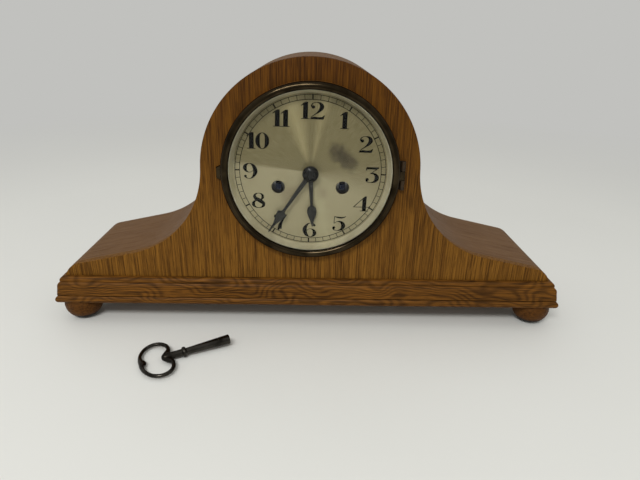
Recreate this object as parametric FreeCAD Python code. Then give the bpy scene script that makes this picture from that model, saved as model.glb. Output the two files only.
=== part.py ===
# A striking table clock in a hat-shaped oak case: a bent top over a moulded plinth on bun feet, a round dial
# behind a hinged bezel, an eight-day movement with a pendulum and a rod gong, and its winding key.
# Frame: X to the right as the clock is seen from the front, Y into the clock, Z up, in millimetres.
# The origin lies on the table, under the middle of the four feet.
import FreeCAD
import Part

import math
import os

Vec = FreeCAD.Vector

# Case outline, seen from the front
CASE_LENGTH = 431.0
DIAL_HEIGHT = 140.0
ARCH_MARGIN = 17.4
NECK_RADIUS = 82.0
SHOULDER_SLOPE = 12.4
END_RADIUS = 24.0
END_DROP = 11.4

# Boards
FRONT_BOARD = 8.0
SHELL_WALL = 5.0
BACK_PANEL = 6.0
BACK_RECESS = 3.0
PANEL_FIT = 0.2

# Plinth moulding, from the bottom up, and the feet
PLINTH_OVERHANG = 9.5
BEAD_HEIGHT = 6.2
GROOVE_HEIGHT = 0.8
GROOVE_DEPTH = 2.0
FASCIA_HEIGHT = 7.7
LOWER_ROUND_HEIGHT = 4.8
LOWER_ROUND_WIDTH = 3.0
STEP_WIDTH = 1.0
UPPER_ROUND_HEIGHT = 4.0
FOOT_HEIGHT = 20.5
FOOT_RADIUS = 16.5
FOOT_WIDEST_LEVEL = 12.7
FOOT_NECK_RADIUS = 14.0
FOOT_SOLE_RADIUS = 6.5
FOOT_EDGE_GAP = 0.5
FOOT_RECESS_RADIUS = 4.0
FOOT_RECESS_DEPTH = 6.0
FOOT_SCREW_RADIUS = 2.0
FOOT_SCREW_HEAD_RADIUS = 3.8
FOOT_SCREW_HEAD = 2.6
FOOT_SCREW_BITE = 13.0
SCREW_FIT = 0.05
KNUCKLE_FIT = 0.3

# Bezel, glass and dial; depths are measured from the front of the case
BEZEL_RADIUS = 73.3
BEZEL_WIDTH = 6.3
BEZEL_GAP = 1.6
BEZEL_CROWN = 7.8
BEZEL_CROWN_INSET = 2.9
BEZEL_EDGE = 1.4
BEZEL_LIP = 0.4
GLASS_SEAT = 1.2
GLASS_THICKNESS = 1.8
GLASS_RISE = 6.0
GLASS_RIM = 1.6
GLASS_FIT = 0.1
BEZEL_TAB_LENGTH = 15.0
BEZEL_TAB_REACH = 4.0
BEZEL_TAB_THICKNESS = 1.2
BEZEL_HINGE_LENGTH = 24.0
BEZEL_HINGE_RADIUS = 2.0
BEZEL_HINGE_PIN = 0.8
BEZEL_HINGE_OFFSET = 2.4
BEZEL_LEAF_WIDTH = 8.0
PAN_SHEET = 0.8
PAN_FIT = 0.3
PAN_FLOOR_WIDTH = 9.0
PAN_SCREW_RADIUS = 1.0
PAN_SCREW_HEAD_RADIUS = 1.8
PAN_SCREW_HEAD = 0.5
PAN_SCREW_BITE = 5.0
DIAL_DEPTH = 3.8
DIAL_SHEET = 0.8
SIGHT_RING_WIDTH = 3.0
SIGHT_RING_SHEET = 0.6
SIGHT_RING_GAP = 0.3
WINDING_HOLE_RADIUS = 5.5
WINDING_SPREAD = 27.0
WINDING_DROP = 13.1
DIAL_HOLE_FIT = 1.0

# Hands; the rest angles are clockwise from twelve
HAND_SHEET = 0.8
HAND_STEP = 1.4
HOUR_HAND_LIFT = 3.2
HOUR_HAND_LENGTH = 44.5
HOUR_HAND_ANGLE = 177.5
MINUTE_HAND_LENGTH = 59.5
MINUTE_HAND_ANGLE = 214.6
HAND_SHANK = 3.6
HAND_NECK = 2.0
HAND_HEAD = 7.6
HOUR_BOSS_RADIUS = 6.0
MINUTE_BOSS_RADIUS = 5.0
HAND_NUT_RADIUS = 6.7
HAND_NUT_HEIGHT = 3.0

# Frame of the movement
PLATE_SHEET = 2.0
PLATE_GAP = 38.0
PLATE_HALF_WIDTH = 56.0
PLATE_TOP = 50.0
PLATE_BOTTOM = 46.0
PILLAR_RADIUS = 3.5
PILLAR_EDGE = 5.0
PILLAR_END_RADIUS = 2.0
PILLAR_NUT_RADIUS = 4.2
PILLAR_NUT_HEIGHT = 2.5
STRAP_ROOM = 10.0
STRAP_SHEET = 1.5
STRAP_HALF_WIDTH = 4.5
STRAP_SCREW_RADIUS = 1.75
STRAP_SCREW_HEAD_RADIUS = 3.2
STRAP_SCREW_HEAD = 2.2
STRAP_SCREW_BITE = 6.0
RUNNING_FIT = 0.06
END_SHAKE = 0.3

# Arbors and teeth
ARBOR_RADIUS = 1.0
PIVOT_RADIUS = 0.7
CENTRE_ARBOR_RADIUS = 1.5
CANNON_RADIUS = 2.2
HOUR_PIPE_RADIUS = 3.4
WHEEL_SHEET = 1.2
PINION_LENGTH = 2.4
BARREL_MODULE = 0.5
TRAIN_MODULE = 0.4
WHEEL_TOOTH_SHARE = 0.42
PINION_LEAF_SHARE = 0.34
WHEEL_ADDENDUM = 1.25
WHEEL_DEDENDUM = 1.15
PINION_ADDENDUM = 0.55
PINION_DEDENDUM = 1.75
WHEEL_RIM = 2.2
WHEEL_HUB = 4.0
WHEEL_ARMS = 4
ARM_SHARE = 0.22

# Tooth counts
GREAT_TEETH = 96
SECOND_LEAVES = 12
SECOND_TEETH = 60
CENTRE_LEAVES = 16
CENTRE_TEETH = 80
THIRD_LEAVES = 10
THIRD_TEETH = 60
FOURTH_LEAVES = 10
FOURTH_TEETH = 48
ESCAPE_LEAVES = 12
ESCAPE_TEETH = 28
CANNON_LEAVES = 16
MINUTE_TEETH = 48
MINUTE_LEAVES = 12
HOUR_TEETH = 48
STRIKE_SECOND_LEAVES = 12
STRIKE_SECOND_TEETH = 60
PIN_LEAVES = 16
PIN_TEETH = 60
LOCKING_LEAVES = 10
LOCKING_TEETH = 60
WARNING_LEAVES = 10
WARNING_TEETH = 48
FLY_LEAVES = 10

# Places of the wheels in depth, from the inside of the front plate; negative ones lie under the dial
DRUM_LAYER = 14.0
SECOND_LAYER = 6.0
CENTRE_LAYER = 9.4
THIRD_LAYER = 2.6
FOURTH_LAYER = 20.0
ESCAPE_LAYER = 28.0
STRIKE_SECOND_LAYER = 5.5
PIN_LAYER = 9.4
LOCKING_LAYER = 16.0
WARNING_LAYER = 22.0
FLY_LAYER = 26.0
MINUTE_LAYER = -4.8
HOUR_LAYER = -8.4
RATCHET_LAYER = -4.6
HAMMER_TAIL_LAYER = 11.6

# Directions from one arbor to the next, in degrees from +X towards +Z
THIRD_DIRECTION = 40.0
MINUTE_DIRECTION = 125.0
STRIKE_SECOND_DIRECTION = 75.0
PIN_DIRECTION = 165.0
LOCKING_DIRECTION = 75.0
WARNING_DIRECTION = 15.0
FLY_DIRECTION = 110.0
CLICK_DIRECTION = 60.0
CLICK_REACH = 40.0

# Barrels, ratchets and clicks
GREAT_SHEET = 1.6
DRUM_RADIUS = 20.0
DRUM_HEIGHT = 18.0
DRUM_WALL = 1.0
SPRING_SHEET = 0.9
SPRING_TURNS = 6
SPRING_START = 5.4
SPRING_GAP = 0.4
SPRING_SIDE_GAP = 0.5
WINDING_ARBOR_RADIUS = 4.0
WINDING_PIVOT_RADIUS = 3.5
WINDING_REAR_PIVOT = 2.5
WINDING_SQUARE = 4.8
WINDING_TIP_GAP = 2.0
RATCHET_TEETH = 24
RATCHET_RADIUS = 9.0
RATCHET_TOOTH = 1.4
RATCHET_SHEET = 2.0
CLICK_DISTANCE = 15.0
CLICK_BOSS_RADIUS = 3.0
CLICK_STUD_RADIUS = 1.5
CLICK_GAP = 0.4

# Escapement and pendulum
ESCAPE_RADIUS = 9.5
ESCAPE_TOOTH = 2.0
ESCAPE_RISE = 27.0
ANCHOR_RISE = 13.5
PALLET_SPREAD = 50.0
PALLET_GAP = 1.2
PALLET_SHEET = 2.0
CRUTCH_ROOM = 4.5
CRUTCH_LENGTH = 40.0
CRUTCH_HALF_WIDTH = 1.5
CRUTCH_SHEET = 1.5
FORK_BAR = 1.2
FORK_FIT = 0.3
COCK_ROOM = 10.0
COCK_HALF_WIDTH = 18.0
COCK_FOOT_WIDTH = 6.0
COCK_HEIGHT = 12.0
COCK_DROP = 5.0
PENDULUM_DEPTH = 16.0
SUSPENSION_WIDTH = 6.0
SUSPENSION_SHEET = 0.4
SUSPENSION_LENGTH = 12.0
SUSPENSION_POST = 3.0
PENDULUM_ROD_RADIUS = 1.2
FERRULE_RADIUS = 2.4
FERRULE_LENGTH = 8.0
BOB_RADIUS = 15.0
BOB_THICKNESS = 9.0
BOB_EDGE = 2.0
RATING_NUT_RADIUS = 3.6
RATING_NUT_HEIGHT = 4.0
PENDULUM_FLOOR_GAP = 6.0

# Striking work
PIN_CIRCLE = 9.5
PIN_RADIUS = 0.8
PIN_COUNT = 6
PIN_LENGTH = 3.5
FLY_RADIUS = 8.0
FLY_LENGTH = 10.0
FLY_SHEET = 0.8
HAMMER_SIDE = 46.0
HAMMER_DROP = 33.0
HAMMER_ARBOR_RADIUS = 1.5
HAMMER_TAIL_GAP = 0.6
HAMMER_BAR_HALF = 1.8
HAMMER_BAR_SHEET = 1.6
HAMMER_REACH = 45.0
HAMMER_HEAD_RADIUS = 5.0
HAMMER_HEAD_LENGTH = 13.0
HAMMER_STEM_RADIUS = 1.6
HAMMER_REST_GAP = 1.5
GONG_ROD_RADIUS = 2.0
GONG_ROD_PITCH = 6.5
GONG_ROD_LENGTH = 214.0
GONG_ROD_HEIGHT = 12.0
GONG_ROD_GRIP = 12.0
GONG_WALL_GAP = 3.0
GONG_BOB_GAP = 3.0
GONG_BLOCK_LENGTH = 24.0
GONG_BLOCK_HEIGHT = 20.0
GONG_BLOCK_WALL = 2.5
GONG_BLOCK_X = 62.0

# Back door
DOOR_HALF_WIDTH = 50.0
DOOR_RISE = 50.0
DOOR_DROP = 60.0
DOOR_FIT = 0.5
DOOR_HINGE_LENGTH = 20.0
DOOR_HINGE_RADIUS = 1.4
DOOR_HINGE_PIN = 0.7
DOOR_HINGE_SHEET = 0.8
DOOR_HINGE_LEAF = 10.0
DOOR_HINGE_SPREAD = 34.0
CATCH_LENGTH = 24.0
CATCH_HALF_WIDTH = 4.0
CATCH_SHEET = 2.0
CATCH_LIFT = 0.3
CATCH_PIN_RADIUS = 1.5
CATCH_EDGE_GAP = 2.0

# Winding key
KEY_TIP_X = -66.7
KEY_TIP_Y = -89.8
KEY_HEADING = 25.8
KEY_LENGTH = 74.0
KEY_BOW_SPREAD = 9.8
KEY_BOW_RADIUS = 12.3
KEY_BOW_BAR = 3.7
KEY_BOW_SHEET = 3.7
KEY_CUSP_RADIUS = 3.6
KEY_SHANK_RADIUS = 3.0
KEY_SHANK_LENGTH = 10.0
KEY_COLLAR_RADIUS = 4.4
KEY_COLLAR_LENGTH = 3.0
KEY_BARREL_RADIUS = 4.9
KEY_SOCKET_FIT = 0.2
KEY_SOCKET_DEPTH = 14.0

# Depths worked out from the contents of the case
CASE_DEPTH_TO_PLATE = FRONT_BOARD + STRAP_ROOM + PLATE_SHEET
CASE_DEPTH_TO_PENDULUM = CASE_DEPTH_TO_PLATE + PLATE_GAP + PLATE_SHEET + PENDULUM_DEPTH
CASE_DEPTH_TO_GONG = CASE_DEPTH_TO_PENDULUM + BOB_THICKNESS / 2 + GONG_BOB_GAP + GONG_ROD_RADIUS
CASE_DEPTH_TO_PANEL = CASE_DEPTH_TO_GONG + GONG_ROD_PITCH + GONG_ROD_RADIUS + GONG_WALL_GAP
CASE_DEPTH = CASE_DEPTH_TO_PANEL + BACK_PANEL + BACK_RECESS
PLINTH_DEPTH = CASE_DEPTH + PLINTH_OVERHANG
PLINTH_FRONT = -PLINTH_DEPTH / 2
CASE_FRONT = PLINTH_FRONT + PLINTH_OVERHANG
CASE_BACK = PLINTH_DEPTH / 2
PANEL_FRONT = CASE_FRONT + CASE_DEPTH_TO_PANEL
PANEL_BACK = PANEL_FRONT + BACK_PANEL
BOARD_BACK = CASE_FRONT + FRONT_BOARD
PLATE_INSIDE = CASE_FRONT + CASE_DEPTH_TO_PLATE
BACK_PLATE_INSIDE = PLATE_INSIDE + PLATE_GAP
BACK_PLATE_REAR = BACK_PLATE_INSIDE + PLATE_SHEET
PENDULUM_Y = CASE_FRONT + CASE_DEPTH_TO_PENDULUM
GONG_Y = CASE_FRONT + CASE_DEPTH_TO_GONG

# Heights and radii worked out from the driving sizes
MOULDING_HEIGHTS = (BEAD_HEIGHT, GROOVE_HEIGHT, FASCIA_HEIGHT, LOWER_ROUND_HEIGHT, UPPER_ROUND_HEIGHT)
PLINTH_TOP = FOOT_HEIGHT + sum(MOULDING_HEIGHTS)
PLINTH_HALF = CASE_LENGTH / 2 + PLINTH_OVERHANG
FOOT_X = PLINTH_HALF - FOOT_EDGE_GAP - FOOT_RADIUS
FOOT_Y = PLINTH_DEPTH / 2 - FOOT_EDGE_GAP - FOOT_RADIUS
ARCH_RADIUS = BEZEL_RADIUS + ARCH_MARGIN
BEZEL_INSIDE = BEZEL_RADIUS - BEZEL_WIDTH
GLASS_RADIUS = BEZEL_INSIDE + GLASS_SEAT - GLASS_FIT
PAN_INSIDE = BEZEL_INSIDE + 0.5 * GLASS_SEAT
PAN_OUTSIDE = PAN_INSIDE + PAN_SHEET
APERTURE = PAN_OUTSIDE + PAN_FIT
GLASS_FRONT = CASE_FRONT - BEZEL_CROWN + GLASS_THICKNESS
GLASS_BACK = GLASS_FRONT + GLASS_THICKNESS
DIAL_FRONT = CASE_FRONT + DIAL_DEPTH
DIAL_BACK = DIAL_FRONT + DIAL_SHEET
HINGE_X = BEZEL_RADIUS + BEZEL_HINGE_OFFSET
HINGE_Y = CASE_FRONT - BEZEL_HINGE_RADIUS - KNUCKLE_FIT
HOUR_HAND_BACK = DIAL_FRONT - HOUR_HAND_LIFT
HOUR_HAND_FRONT = HOUR_HAND_BACK - HAND_SHEET
MINUTE_HAND_BACK = HOUR_HAND_FRONT - HAND_STEP
MINUTE_HAND_FRONT = MINUTE_HAND_BACK - HAND_SHEET
CENTRE = (0.0, DIAL_HEIGHT)


def layer(depth):
    """Y of a depth behind the inside of the front plate."""
    return PLATE_INSIDE + depth


def polar(centre, radius, angle):
    """Point of the XZ plane at a radius and an angle, in radians from +X towards +Z."""
    return (centre[0] + radius * math.cos(angle), centre[1] + radius * math.sin(angle))


def direction(start, end):
    """Angle of the line from one point of the XZ plane to another."""
    return math.atan2(end[1] - start[1], end[0] - start[0])


def meeting_point(first, first_radius, second, second_radius):
    """Where two circles cross, on the right hand of the line from the first centre to the second."""
    span = math.dist(first, second)
    along = (first_radius**2 - second_radius**2 + span**2) / (2 * span)
    aside = math.acos(along / first_radius)
    return polar(first, first_radius, direction(first, second) - aside)


def one(shape):
    """The single solid of a finished shape."""
    return shape.Solids[0] if len(shape.Solids) == 1 else shape


def fused(first, *others):
    return one(first.multiFuse(list(others)).removeSplitter())


def save(name, *solids):
    """Write one node: a solid, or a group of like solids."""
    shape = solids[0] if len(solids) == 1 else Part.makeCompound(list(solids))
    shape.exportStep(os.path.join("parts", name + ".step"))


def box(x0, x1, y0, y1, z0, z1):
    return Part.makeBox(x1 - x0, y1 - y0, z1 - z0, Vec(x0, y0, z0))


def disc(centre, radius, y0, y1):
    return Part.makeCylinder(radius, y1 - y0, Vec(centre[0], y0, centre[1]), Vec(0, 1, 0))


def ring(centre, outer, inner, y0, y1):
    return disc(centre, outer, y0, y1).cut(disc(centre, inner, y0 - 1, y1 + 1))


def post(x, y, radius, z0, z1):
    return Part.makeCylinder(radius, z1 - z0, Vec(x, y, z0))


def slab(points, y0, y1):
    """Prism of an XZ outline between two depths."""
    corners = [Vec(x, y0, z) for x, z in points]
    return Part.Face(Part.makePolygon(corners + corners[:1])).extrude(Vec(0, y1 - y0, 0))


def hexagon(centre, radius, y0, y1):
    return slab([polar(centre, radius, math.radians(60 * k)) for k in range(6)], y0, y1)


def arc(first, middle, last):
    return Part.Arc(first, middle, last).toShape()


def line(first, last):
    return Part.makeLine(first, last)


def turned(edges, centre):
    """Solid turned round the Y line through a centre, from a closed section of (radius, y) edges."""
    face = Part.Face(Part.Wire(edges))
    return face.revolve(Vec(centre[0], 0, centre[1]), Vec(0, 1, 0), 360)


def section(points, centre):
    """Straight edges of a closed (radius, y) section at a centre."""
    corners = [Vec(centre[0] + r, y, centre[1]) for r, y in points]
    return [line(a, b) for a, b in zip(corners, corners[1:] + corners[:1])]


def link(start, end, half, y0, y1):
    """Flat bar with round ends between two points."""
    side = direction(start, end) + math.pi / 2
    away = side + math.pi
    left = [polar(start, half, side), polar(end, half, side)]
    right = [polar(end, half, away), polar(start, half, away)]
    return fused(slab(left + right, y0, y1), disc(start, half, y0, y1), disc(end, half, y0, y1))


# Outline of the case
SLOPE = math.radians(SHOULDER_SLOPE)
UPWARD = (math.sin(SLOPE), math.cos(SLOPE))
END_CENTRE = (CASE_LENGTH / 2 - math.sqrt(END_RADIUS**2 - END_DROP**2), PLINTH_TOP - END_DROP)


def neck_centre():
    """Centre of the hollow that joins the arch to the shoulder line."""
    rise = END_RADIUS + NECK_RADIUS
    start = (END_CENTRE[0] + rise * UPWARD[0], END_CENTRE[1] + rise * UPWARD[1])
    heading = (-UPWARD[1], UPWARD[0])
    gap = (start[0] - CENTRE[0], start[1] - CENTRE[1])
    half = gap[0] * heading[0] + gap[1] * heading[1]
    excess = gap[0]**2 + gap[1]**2 - (ARCH_RADIUS + NECK_RADIUS)**2
    travel = -half - math.sqrt(half**2 - excess)
    return (start[0] + travel * heading[0], start[1] + travel * heading[1])


NECK_CENTRE = neck_centre()


def case_face(inset, y):
    """Front view of the case, drawn in by an inset, with its foot on the plinth."""
    def on(side, point):
        return Vec(side * point[0], y, point[1])

    arch = ARCH_RADIUS - inset
    neck = NECK_RADIUS + inset
    end = END_RADIUS - inset
    crown = direction(CENTRE, NECK_CENTRE)
    slope = direction((0, 0), UPWARD)
    foot = math.asin((PLINTH_TOP - END_CENTRE[1]) / end)
    below = slope + math.pi
    turn = crown + math.pi
    corner = polar(END_CENTRE, end, foot)
    end_middle = polar(END_CENTRE, end, (foot + slope) / 2)
    end_top = polar(END_CENTRE, end, slope)
    neck_foot = polar(NECK_CENTRE, neck, below)
    neck_middle = polar(NECK_CENTRE, neck, (below + turn) / 2)
    neck_top = polar(NECK_CENTRE, neck, turn)
    top = (0.0, DIAL_HEIGHT + arch)
    edges = [arc(on(1, neck_top), on(1, top), on(-1, neck_top))]
    for side in (1, -1):
        edges.append(arc(on(side, corner), on(side, end_middle), on(side, end_top)))
        edges.append(line(on(side, end_top), on(side, neck_foot)))
        edges.append(arc(on(side, neck_foot), on(side, neck_middle), on(side, neck_top)))
    edges.append(line(on(1, corner), on(-1, corner)))
    return Part.Face(Part.Wire(Part.__sortEdges__(edges)))


def case_slab(inset, y0, y1):
    return case_face(inset, y0).extrude(Vec(0, y1 - y0, 0))


# Straps that carry the movement on the front board, and the pillars they share
STRAP_CIRCLE = (APERTURE + ARCH_RADIUS - SHELL_WALL) / 2
STRAP_POINTS = [polar(CENTRE, STRAP_CIRCLE, math.radians(45 + 90 * k)) for k in range(4)]
PILLAR_X = PLATE_HALF_WIDTH - PILLAR_EDGE
PILLAR_POINTS = [
    (side * PILLAR_X, DIAL_HEIGHT + height)
    for side, height in (
        (1, PLATE_TOP - PILLAR_EDGE),
        (-1, PLATE_TOP - PILLAR_EDGE),
        (-1, PILLAR_EDGE - PLATE_BOTTOM),
        (1, PILLAR_EDGE - PLATE_BOTTOM),
    )
]


def front_board():
    board = case_slab(0, CASE_FRONT, BOARD_BACK).cut(disc(CENTRE, APERTURE, CASE_FRONT - 1, BOARD_BACK + 1))
    strap_hole = STRAP_SCREW_RADIUS + SCREW_FIT
    for point in STRAP_POINTS:
        board = board.cut(disc(point, strap_hole, BOARD_BACK - STRAP_SCREW_BITE, BOARD_BACK + 1))
    pan_hole = PAN_SCREW_RADIUS + SCREW_FIT
    for point in PAN_SCREW_POINTS:
        board = board.cut(disc(point, pan_hole, CASE_FRONT - 1, CASE_FRONT + PAN_SCREW_BITE))
    return board


def top_shell():
    outside = case_slab(0, BOARD_BACK, CASE_BACK)
    return outside.cut(case_slab(SHELL_WALL, BOARD_BACK - 1, CASE_BACK + 1))


def moulding(place):
    """Edges of the plinth's moulding from the bottom up; place turns (overhang, height) into a point."""
    bead = PLINTH_OVERHANG - BEAD_HEIGHT / 4
    fascia = PLINTH_OVERHANG - GROOVE_DEPTH
    level = FOOT_HEIGHT
    edges = []
    start = place(bead, level)
    level += BEAD_HEIGHT
    edges.append(arc(start, place(PLINTH_OVERHANG, level - BEAD_HEIGHT / 2), place(bead, level)))
    groove = fascia - GROOVE_DEPTH
    corners = [(bead, level), (groove, level)]
    level += GROOVE_HEIGHT
    corners += [(groove, level), (fascia, level)]
    level += FASCIA_HEIGHT
    corners.append((fascia, level))
    for (a, b), (c, d) in zip(corners, corners[1:]):
        edges.append(line(place(a, b), place(c, d)))
    step = fascia - LOWER_ROUND_WIDTH
    edges.append(quarter_round(place, fascia, step, level, LOWER_ROUND_HEIGHT))
    level += LOWER_ROUND_HEIGHT
    edges.append(line(place(step, level), place(step - STEP_WIDTH, level)))
    edges.append(quarter_round(place, step - STEP_WIDTH, 0.0, level, UPPER_ROUND_HEIGHT))
    return edges


def quarter_round(place, outer, inner, level, height):
    """Convex stretch of moulding that leans in from outer to inner over a height."""
    bulge = 0.2
    run = outer - inner
    middle = place((outer + inner) / 2 + bulge * height, level + height / 2 + bulge * run)
    return arc(place(outer, level), middle, place(inner, level + height))


def plinth():
    def front(over, z):
        return Vec(-PLINTH_HALF, CASE_FRONT - over, z)

    def right(over, z):
        return Vec(CASE_LENGTH / 2 + over, PLINTH_FRONT, z)

    def left(over, z):
        return Vec(-CASE_LENGTH / 2 - over, PLINTH_FRONT, z)

    bead = PLINTH_OVERHANG - BEAD_HEIGHT / 4
    back_top = Vec(-PLINTH_HALF, CASE_BACK, PLINTH_TOP)
    back_foot = Vec(-PLINTH_HALF, CASE_BACK, FOOT_HEIGHT)
    profile = moulding(front) + [line(front(0, PLINTH_TOP), back_top), line(back_top, back_foot)]
    profile.append(line(back_foot, front(bead, FOOT_HEIGHT)))
    along = Part.Face(Part.Wire(Part.__sortEdges__(profile))).extrude(Vec(2 * PLINTH_HALF, 0, 0))
    outline = moulding(right) + moulding(left)
    outline.append(line(right(0, PLINTH_TOP), left(0, PLINTH_TOP)))
    outline.append(line(right(bead, FOOT_HEIGHT), left(bead, FOOT_HEIGHT)))
    across = Part.Face(Part.Wire(Part.__sortEdges__(outline))).extrude(Vec(0, PLINTH_DEPTH, 0))
    block = along.common(across)
    for x, y in FOOT_POINTS:
        block = block.cut(post(x, y, FOOT_SCREW_HOLE, FOOT_HEIGHT - 1, FOOT_HEIGHT + FOOT_SCREW_BITE))
    return one(block)


FOOT_POINTS = [(sx * FOOT_X, sy * FOOT_Y) for sx in (-1, 1) for sy in (-1, 1)]
FOOT_SCREW_HOLE = FOOT_SCREW_RADIUS + SCREW_FIT
SCREW_SEAT = FOOT_RECESS_DEPTH + FOOT_SCREW_HEAD


def foot(x, y):
    def at(radius, z):
        return Vec(x + radius, y, z)

    sole = at(FOOT_SOLE_RADIUS, 0)
    neck = at(FOOT_NECK_RADIUS, FOOT_HEIGHT)
    edges = [
        line(at(0, 0), sole),
        arc(sole, at(FOOT_RADIUS, FOOT_WIDEST_LEVEL), neck),
        line(neck, at(0, FOOT_HEIGHT)),
        line(at(0, FOOT_HEIGHT), at(0, 0)),
    ]
    bun = Part.Face(Part.Wire(edges)).revolve(Vec(x, y, 0), Vec(0, 0, 1), 360)
    bun = bun.cut(post(x, y, FOOT_RECESS_RADIUS, -1, FOOT_RECESS_DEPTH))
    bun = bun.cut(screw_cone(x, y, SCREW_FIT))
    return one(bun.cut(post(x, y, FOOT_SCREW_HOLE, SCREW_SEAT - 1, FOOT_HEIGHT + 1)))


def screw_cone(x, y, fit):
    """Countersunk head of a foot's screw, or its seat with a fit added."""
    base = Vec(x, y, FOOT_RECESS_DEPTH)
    return Part.makeCone(FOOT_SCREW_HEAD_RADIUS + fit, FOOT_SCREW_RADIUS + fit, FOOT_SCREW_HEAD, base)


def foot_screw(x, y):
    shank = post(x, y, FOOT_SCREW_RADIUS, SCREW_SEAT, FOOT_HEIGHT + FOOT_SCREW_BITE)
    return fused(screw_cone(x, y, 0), shank)


# Dial, bezel and hands
PAN_SCREW_CIRCLE = (PAN_OUTSIDE + BEZEL_RADIUS) / 2
PAN_SCREW_POINTS = [polar(CENTRE, PAN_SCREW_CIRCLE, math.radians(45 + 90 * k)) for k in range(4)]
PAN_FLANGE = CASE_FRONT - PAN_SHEET
SIGHT_RING_INSIDE = BEZEL_INSIDE - SIGHT_RING_WIDTH


def dial_pan():
    floor_front = DIAL_BACK
    floor_back = DIAL_BACK + PAN_SHEET
    inside = PAN_INSIDE - PAN_FLOOR_WIDTH
    profile = [
        (BEZEL_RADIUS, PAN_FLANGE),
        (BEZEL_RADIUS, CASE_FRONT),
        (PAN_OUTSIDE, CASE_FRONT),
        (PAN_OUTSIDE, floor_back),
        (inside, floor_back),
        (inside, floor_front),
        (PAN_INSIDE, floor_front),
        (PAN_INSIDE, PAN_FLANGE),
    ]
    pan = turned(section(profile, CENTRE), CENTRE)
    for point in PAN_SCREW_POINTS:
        pan = pan.cut(disc(point, PAN_SCREW_RADIUS + SCREW_FIT, PAN_FLANGE - 1, CASE_FRONT + 1))
    return one(pan)


def pan_screw(point):
    head = disc(point, PAN_SCREW_HEAD_RADIUS, PAN_FLANGE - PAN_SCREW_HEAD, PAN_FLANGE)
    return fused(head, disc(point, PAN_SCREW_RADIUS, PAN_FLANGE, CASE_FRONT + PAN_SCREW_BITE))


def dial_plate():
    plate = ring(CENTRE, PAN_INSIDE - 0.5 * PAN_FIT, HOUR_PIPE_RADIUS + DIAL_HOLE_FIT, DIAL_FRONT, DIAL_BACK)
    for barrel in (GOING_BARREL, STRIKE_BARREL):
        plate = plate.cut(disc(barrel, WINDING_HOLE_RADIUS, DIAL_FRONT - 1, DIAL_BACK + 1))
    return one(plate)


def sight_ring():
    tip = GLASS_BACK + SIGHT_RING_GAP
    profile = [
        (SIGHT_RING_INSIDE, DIAL_FRONT),
        (SIGHT_RING_INSIDE + SIGHT_RING_SHEET, DIAL_FRONT),
        (BEZEL_INSIDE, tip),
        (BEZEL_INSIDE - SIGHT_RING_SHEET, tip),
    ]
    return turned(section(profile, CENTRE), CENTRE)


def bezel_ring():
    """Convex ring with a seat for the glass, a hinge knuckle at the right and a finger tab at the left."""
    def at(radius, y):
        return Vec(CENTRE[0] + radius, y, CENTRE[1])

    back = CASE_FRONT - BEZEL_GAP
    crown = at(BEZEL_RADIUS - BEZEL_CROWN_INSET, CASE_FRONT - BEZEL_CROWN)
    edge = at(BEZEL_RADIUS, back - BEZEL_EDGE)
    lip_front = at(BEZEL_INSIDE, GLASS_FRONT - BEZEL_LIP)
    outer_middle = at(
        BEZEL_RADIUS - 0.22 * BEZEL_CROWN_INSET, CASE_FRONT - BEZEL_CROWN + 0.22 * (BEZEL_CROWN - BEZEL_GAP)
    )
    inner_middle = at(
        BEZEL_INSIDE + 0.35 * (BEZEL_WIDTH - BEZEL_CROWN_INSET), CASE_FRONT - BEZEL_CROWN + 0.2 * BEZEL_LIP
    )
    corners = [
        lip_front,
        at(BEZEL_INSIDE, GLASS_FRONT),
        at(BEZEL_INSIDE + GLASS_SEAT, GLASS_FRONT),
        at(BEZEL_INSIDE + GLASS_SEAT, back),
        at(BEZEL_RADIUS, back),
        edge,
    ]
    edges = [line(a, b) for a, b in zip(corners, corners[1:])]
    edges.append(arc(edge, outer_middle, crown))
    edges.append(arc(crown, inner_middle, lip_front))
    body = turned(edges, CENTRE)
    half = BEZEL_HINGE_LENGTH / 6 - KNUCKLE_FIT
    low = DIAL_HEIGHT - half
    high = DIAL_HEIGHT + half
    knuckle = post(HINGE_X, HINGE_Y, BEZEL_HINGE_RADIUS, low, high)
    lug_front = HINGE_Y - BEZEL_HINGE_RADIUS
    lug_back = HINGE_Y + 0.2 * BEZEL_HINGE_RADIUS
    lug = box(BEZEL_INSIDE + 2 * GLASS_SEAT, HINGE_X, lug_front, lug_back, low, high)
    tab = box(
        -BEZEL_RADIUS - BEZEL_TAB_REACH,
        -BEZEL_RADIUS + BEZEL_CROWN_INSET,
        back - BEZEL_TAB_THICKNESS,
        back,
        DIAL_HEIGHT - BEZEL_TAB_LENGTH / 2,
        DIAL_HEIGHT + BEZEL_TAB_LENGTH / 2,
    )
    body = fused(body, knuckle, lug, tab)
    bore = post(HINGE_X, HINGE_Y, BEZEL_HINGE_PIN, low - 1, high + 1)
    return one(body.cut(bore))


def bezel_glass():
    """Convex glass with a flat rim."""
    rim = GLASS_RADIUS - GLASS_RIM
    ball = (rim**2 + GLASS_RISE**2) / (2 * GLASS_RISE)

    def cap(base):
        apex = base - GLASS_RISE
        sphere = Part.makeSphere(ball, Vec(CENTRE[0], apex + ball, CENTRE[1]))
        return sphere.common(disc(CENTRE, rim, apex - 1, base))

    plate = disc(CENTRE, GLASS_RADIUS, GLASS_FRONT, GLASS_BACK)
    return one(plate.fuse(cap(GLASS_FRONT)).cut(cap(GLASS_BACK)).removeSplitter())


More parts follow.
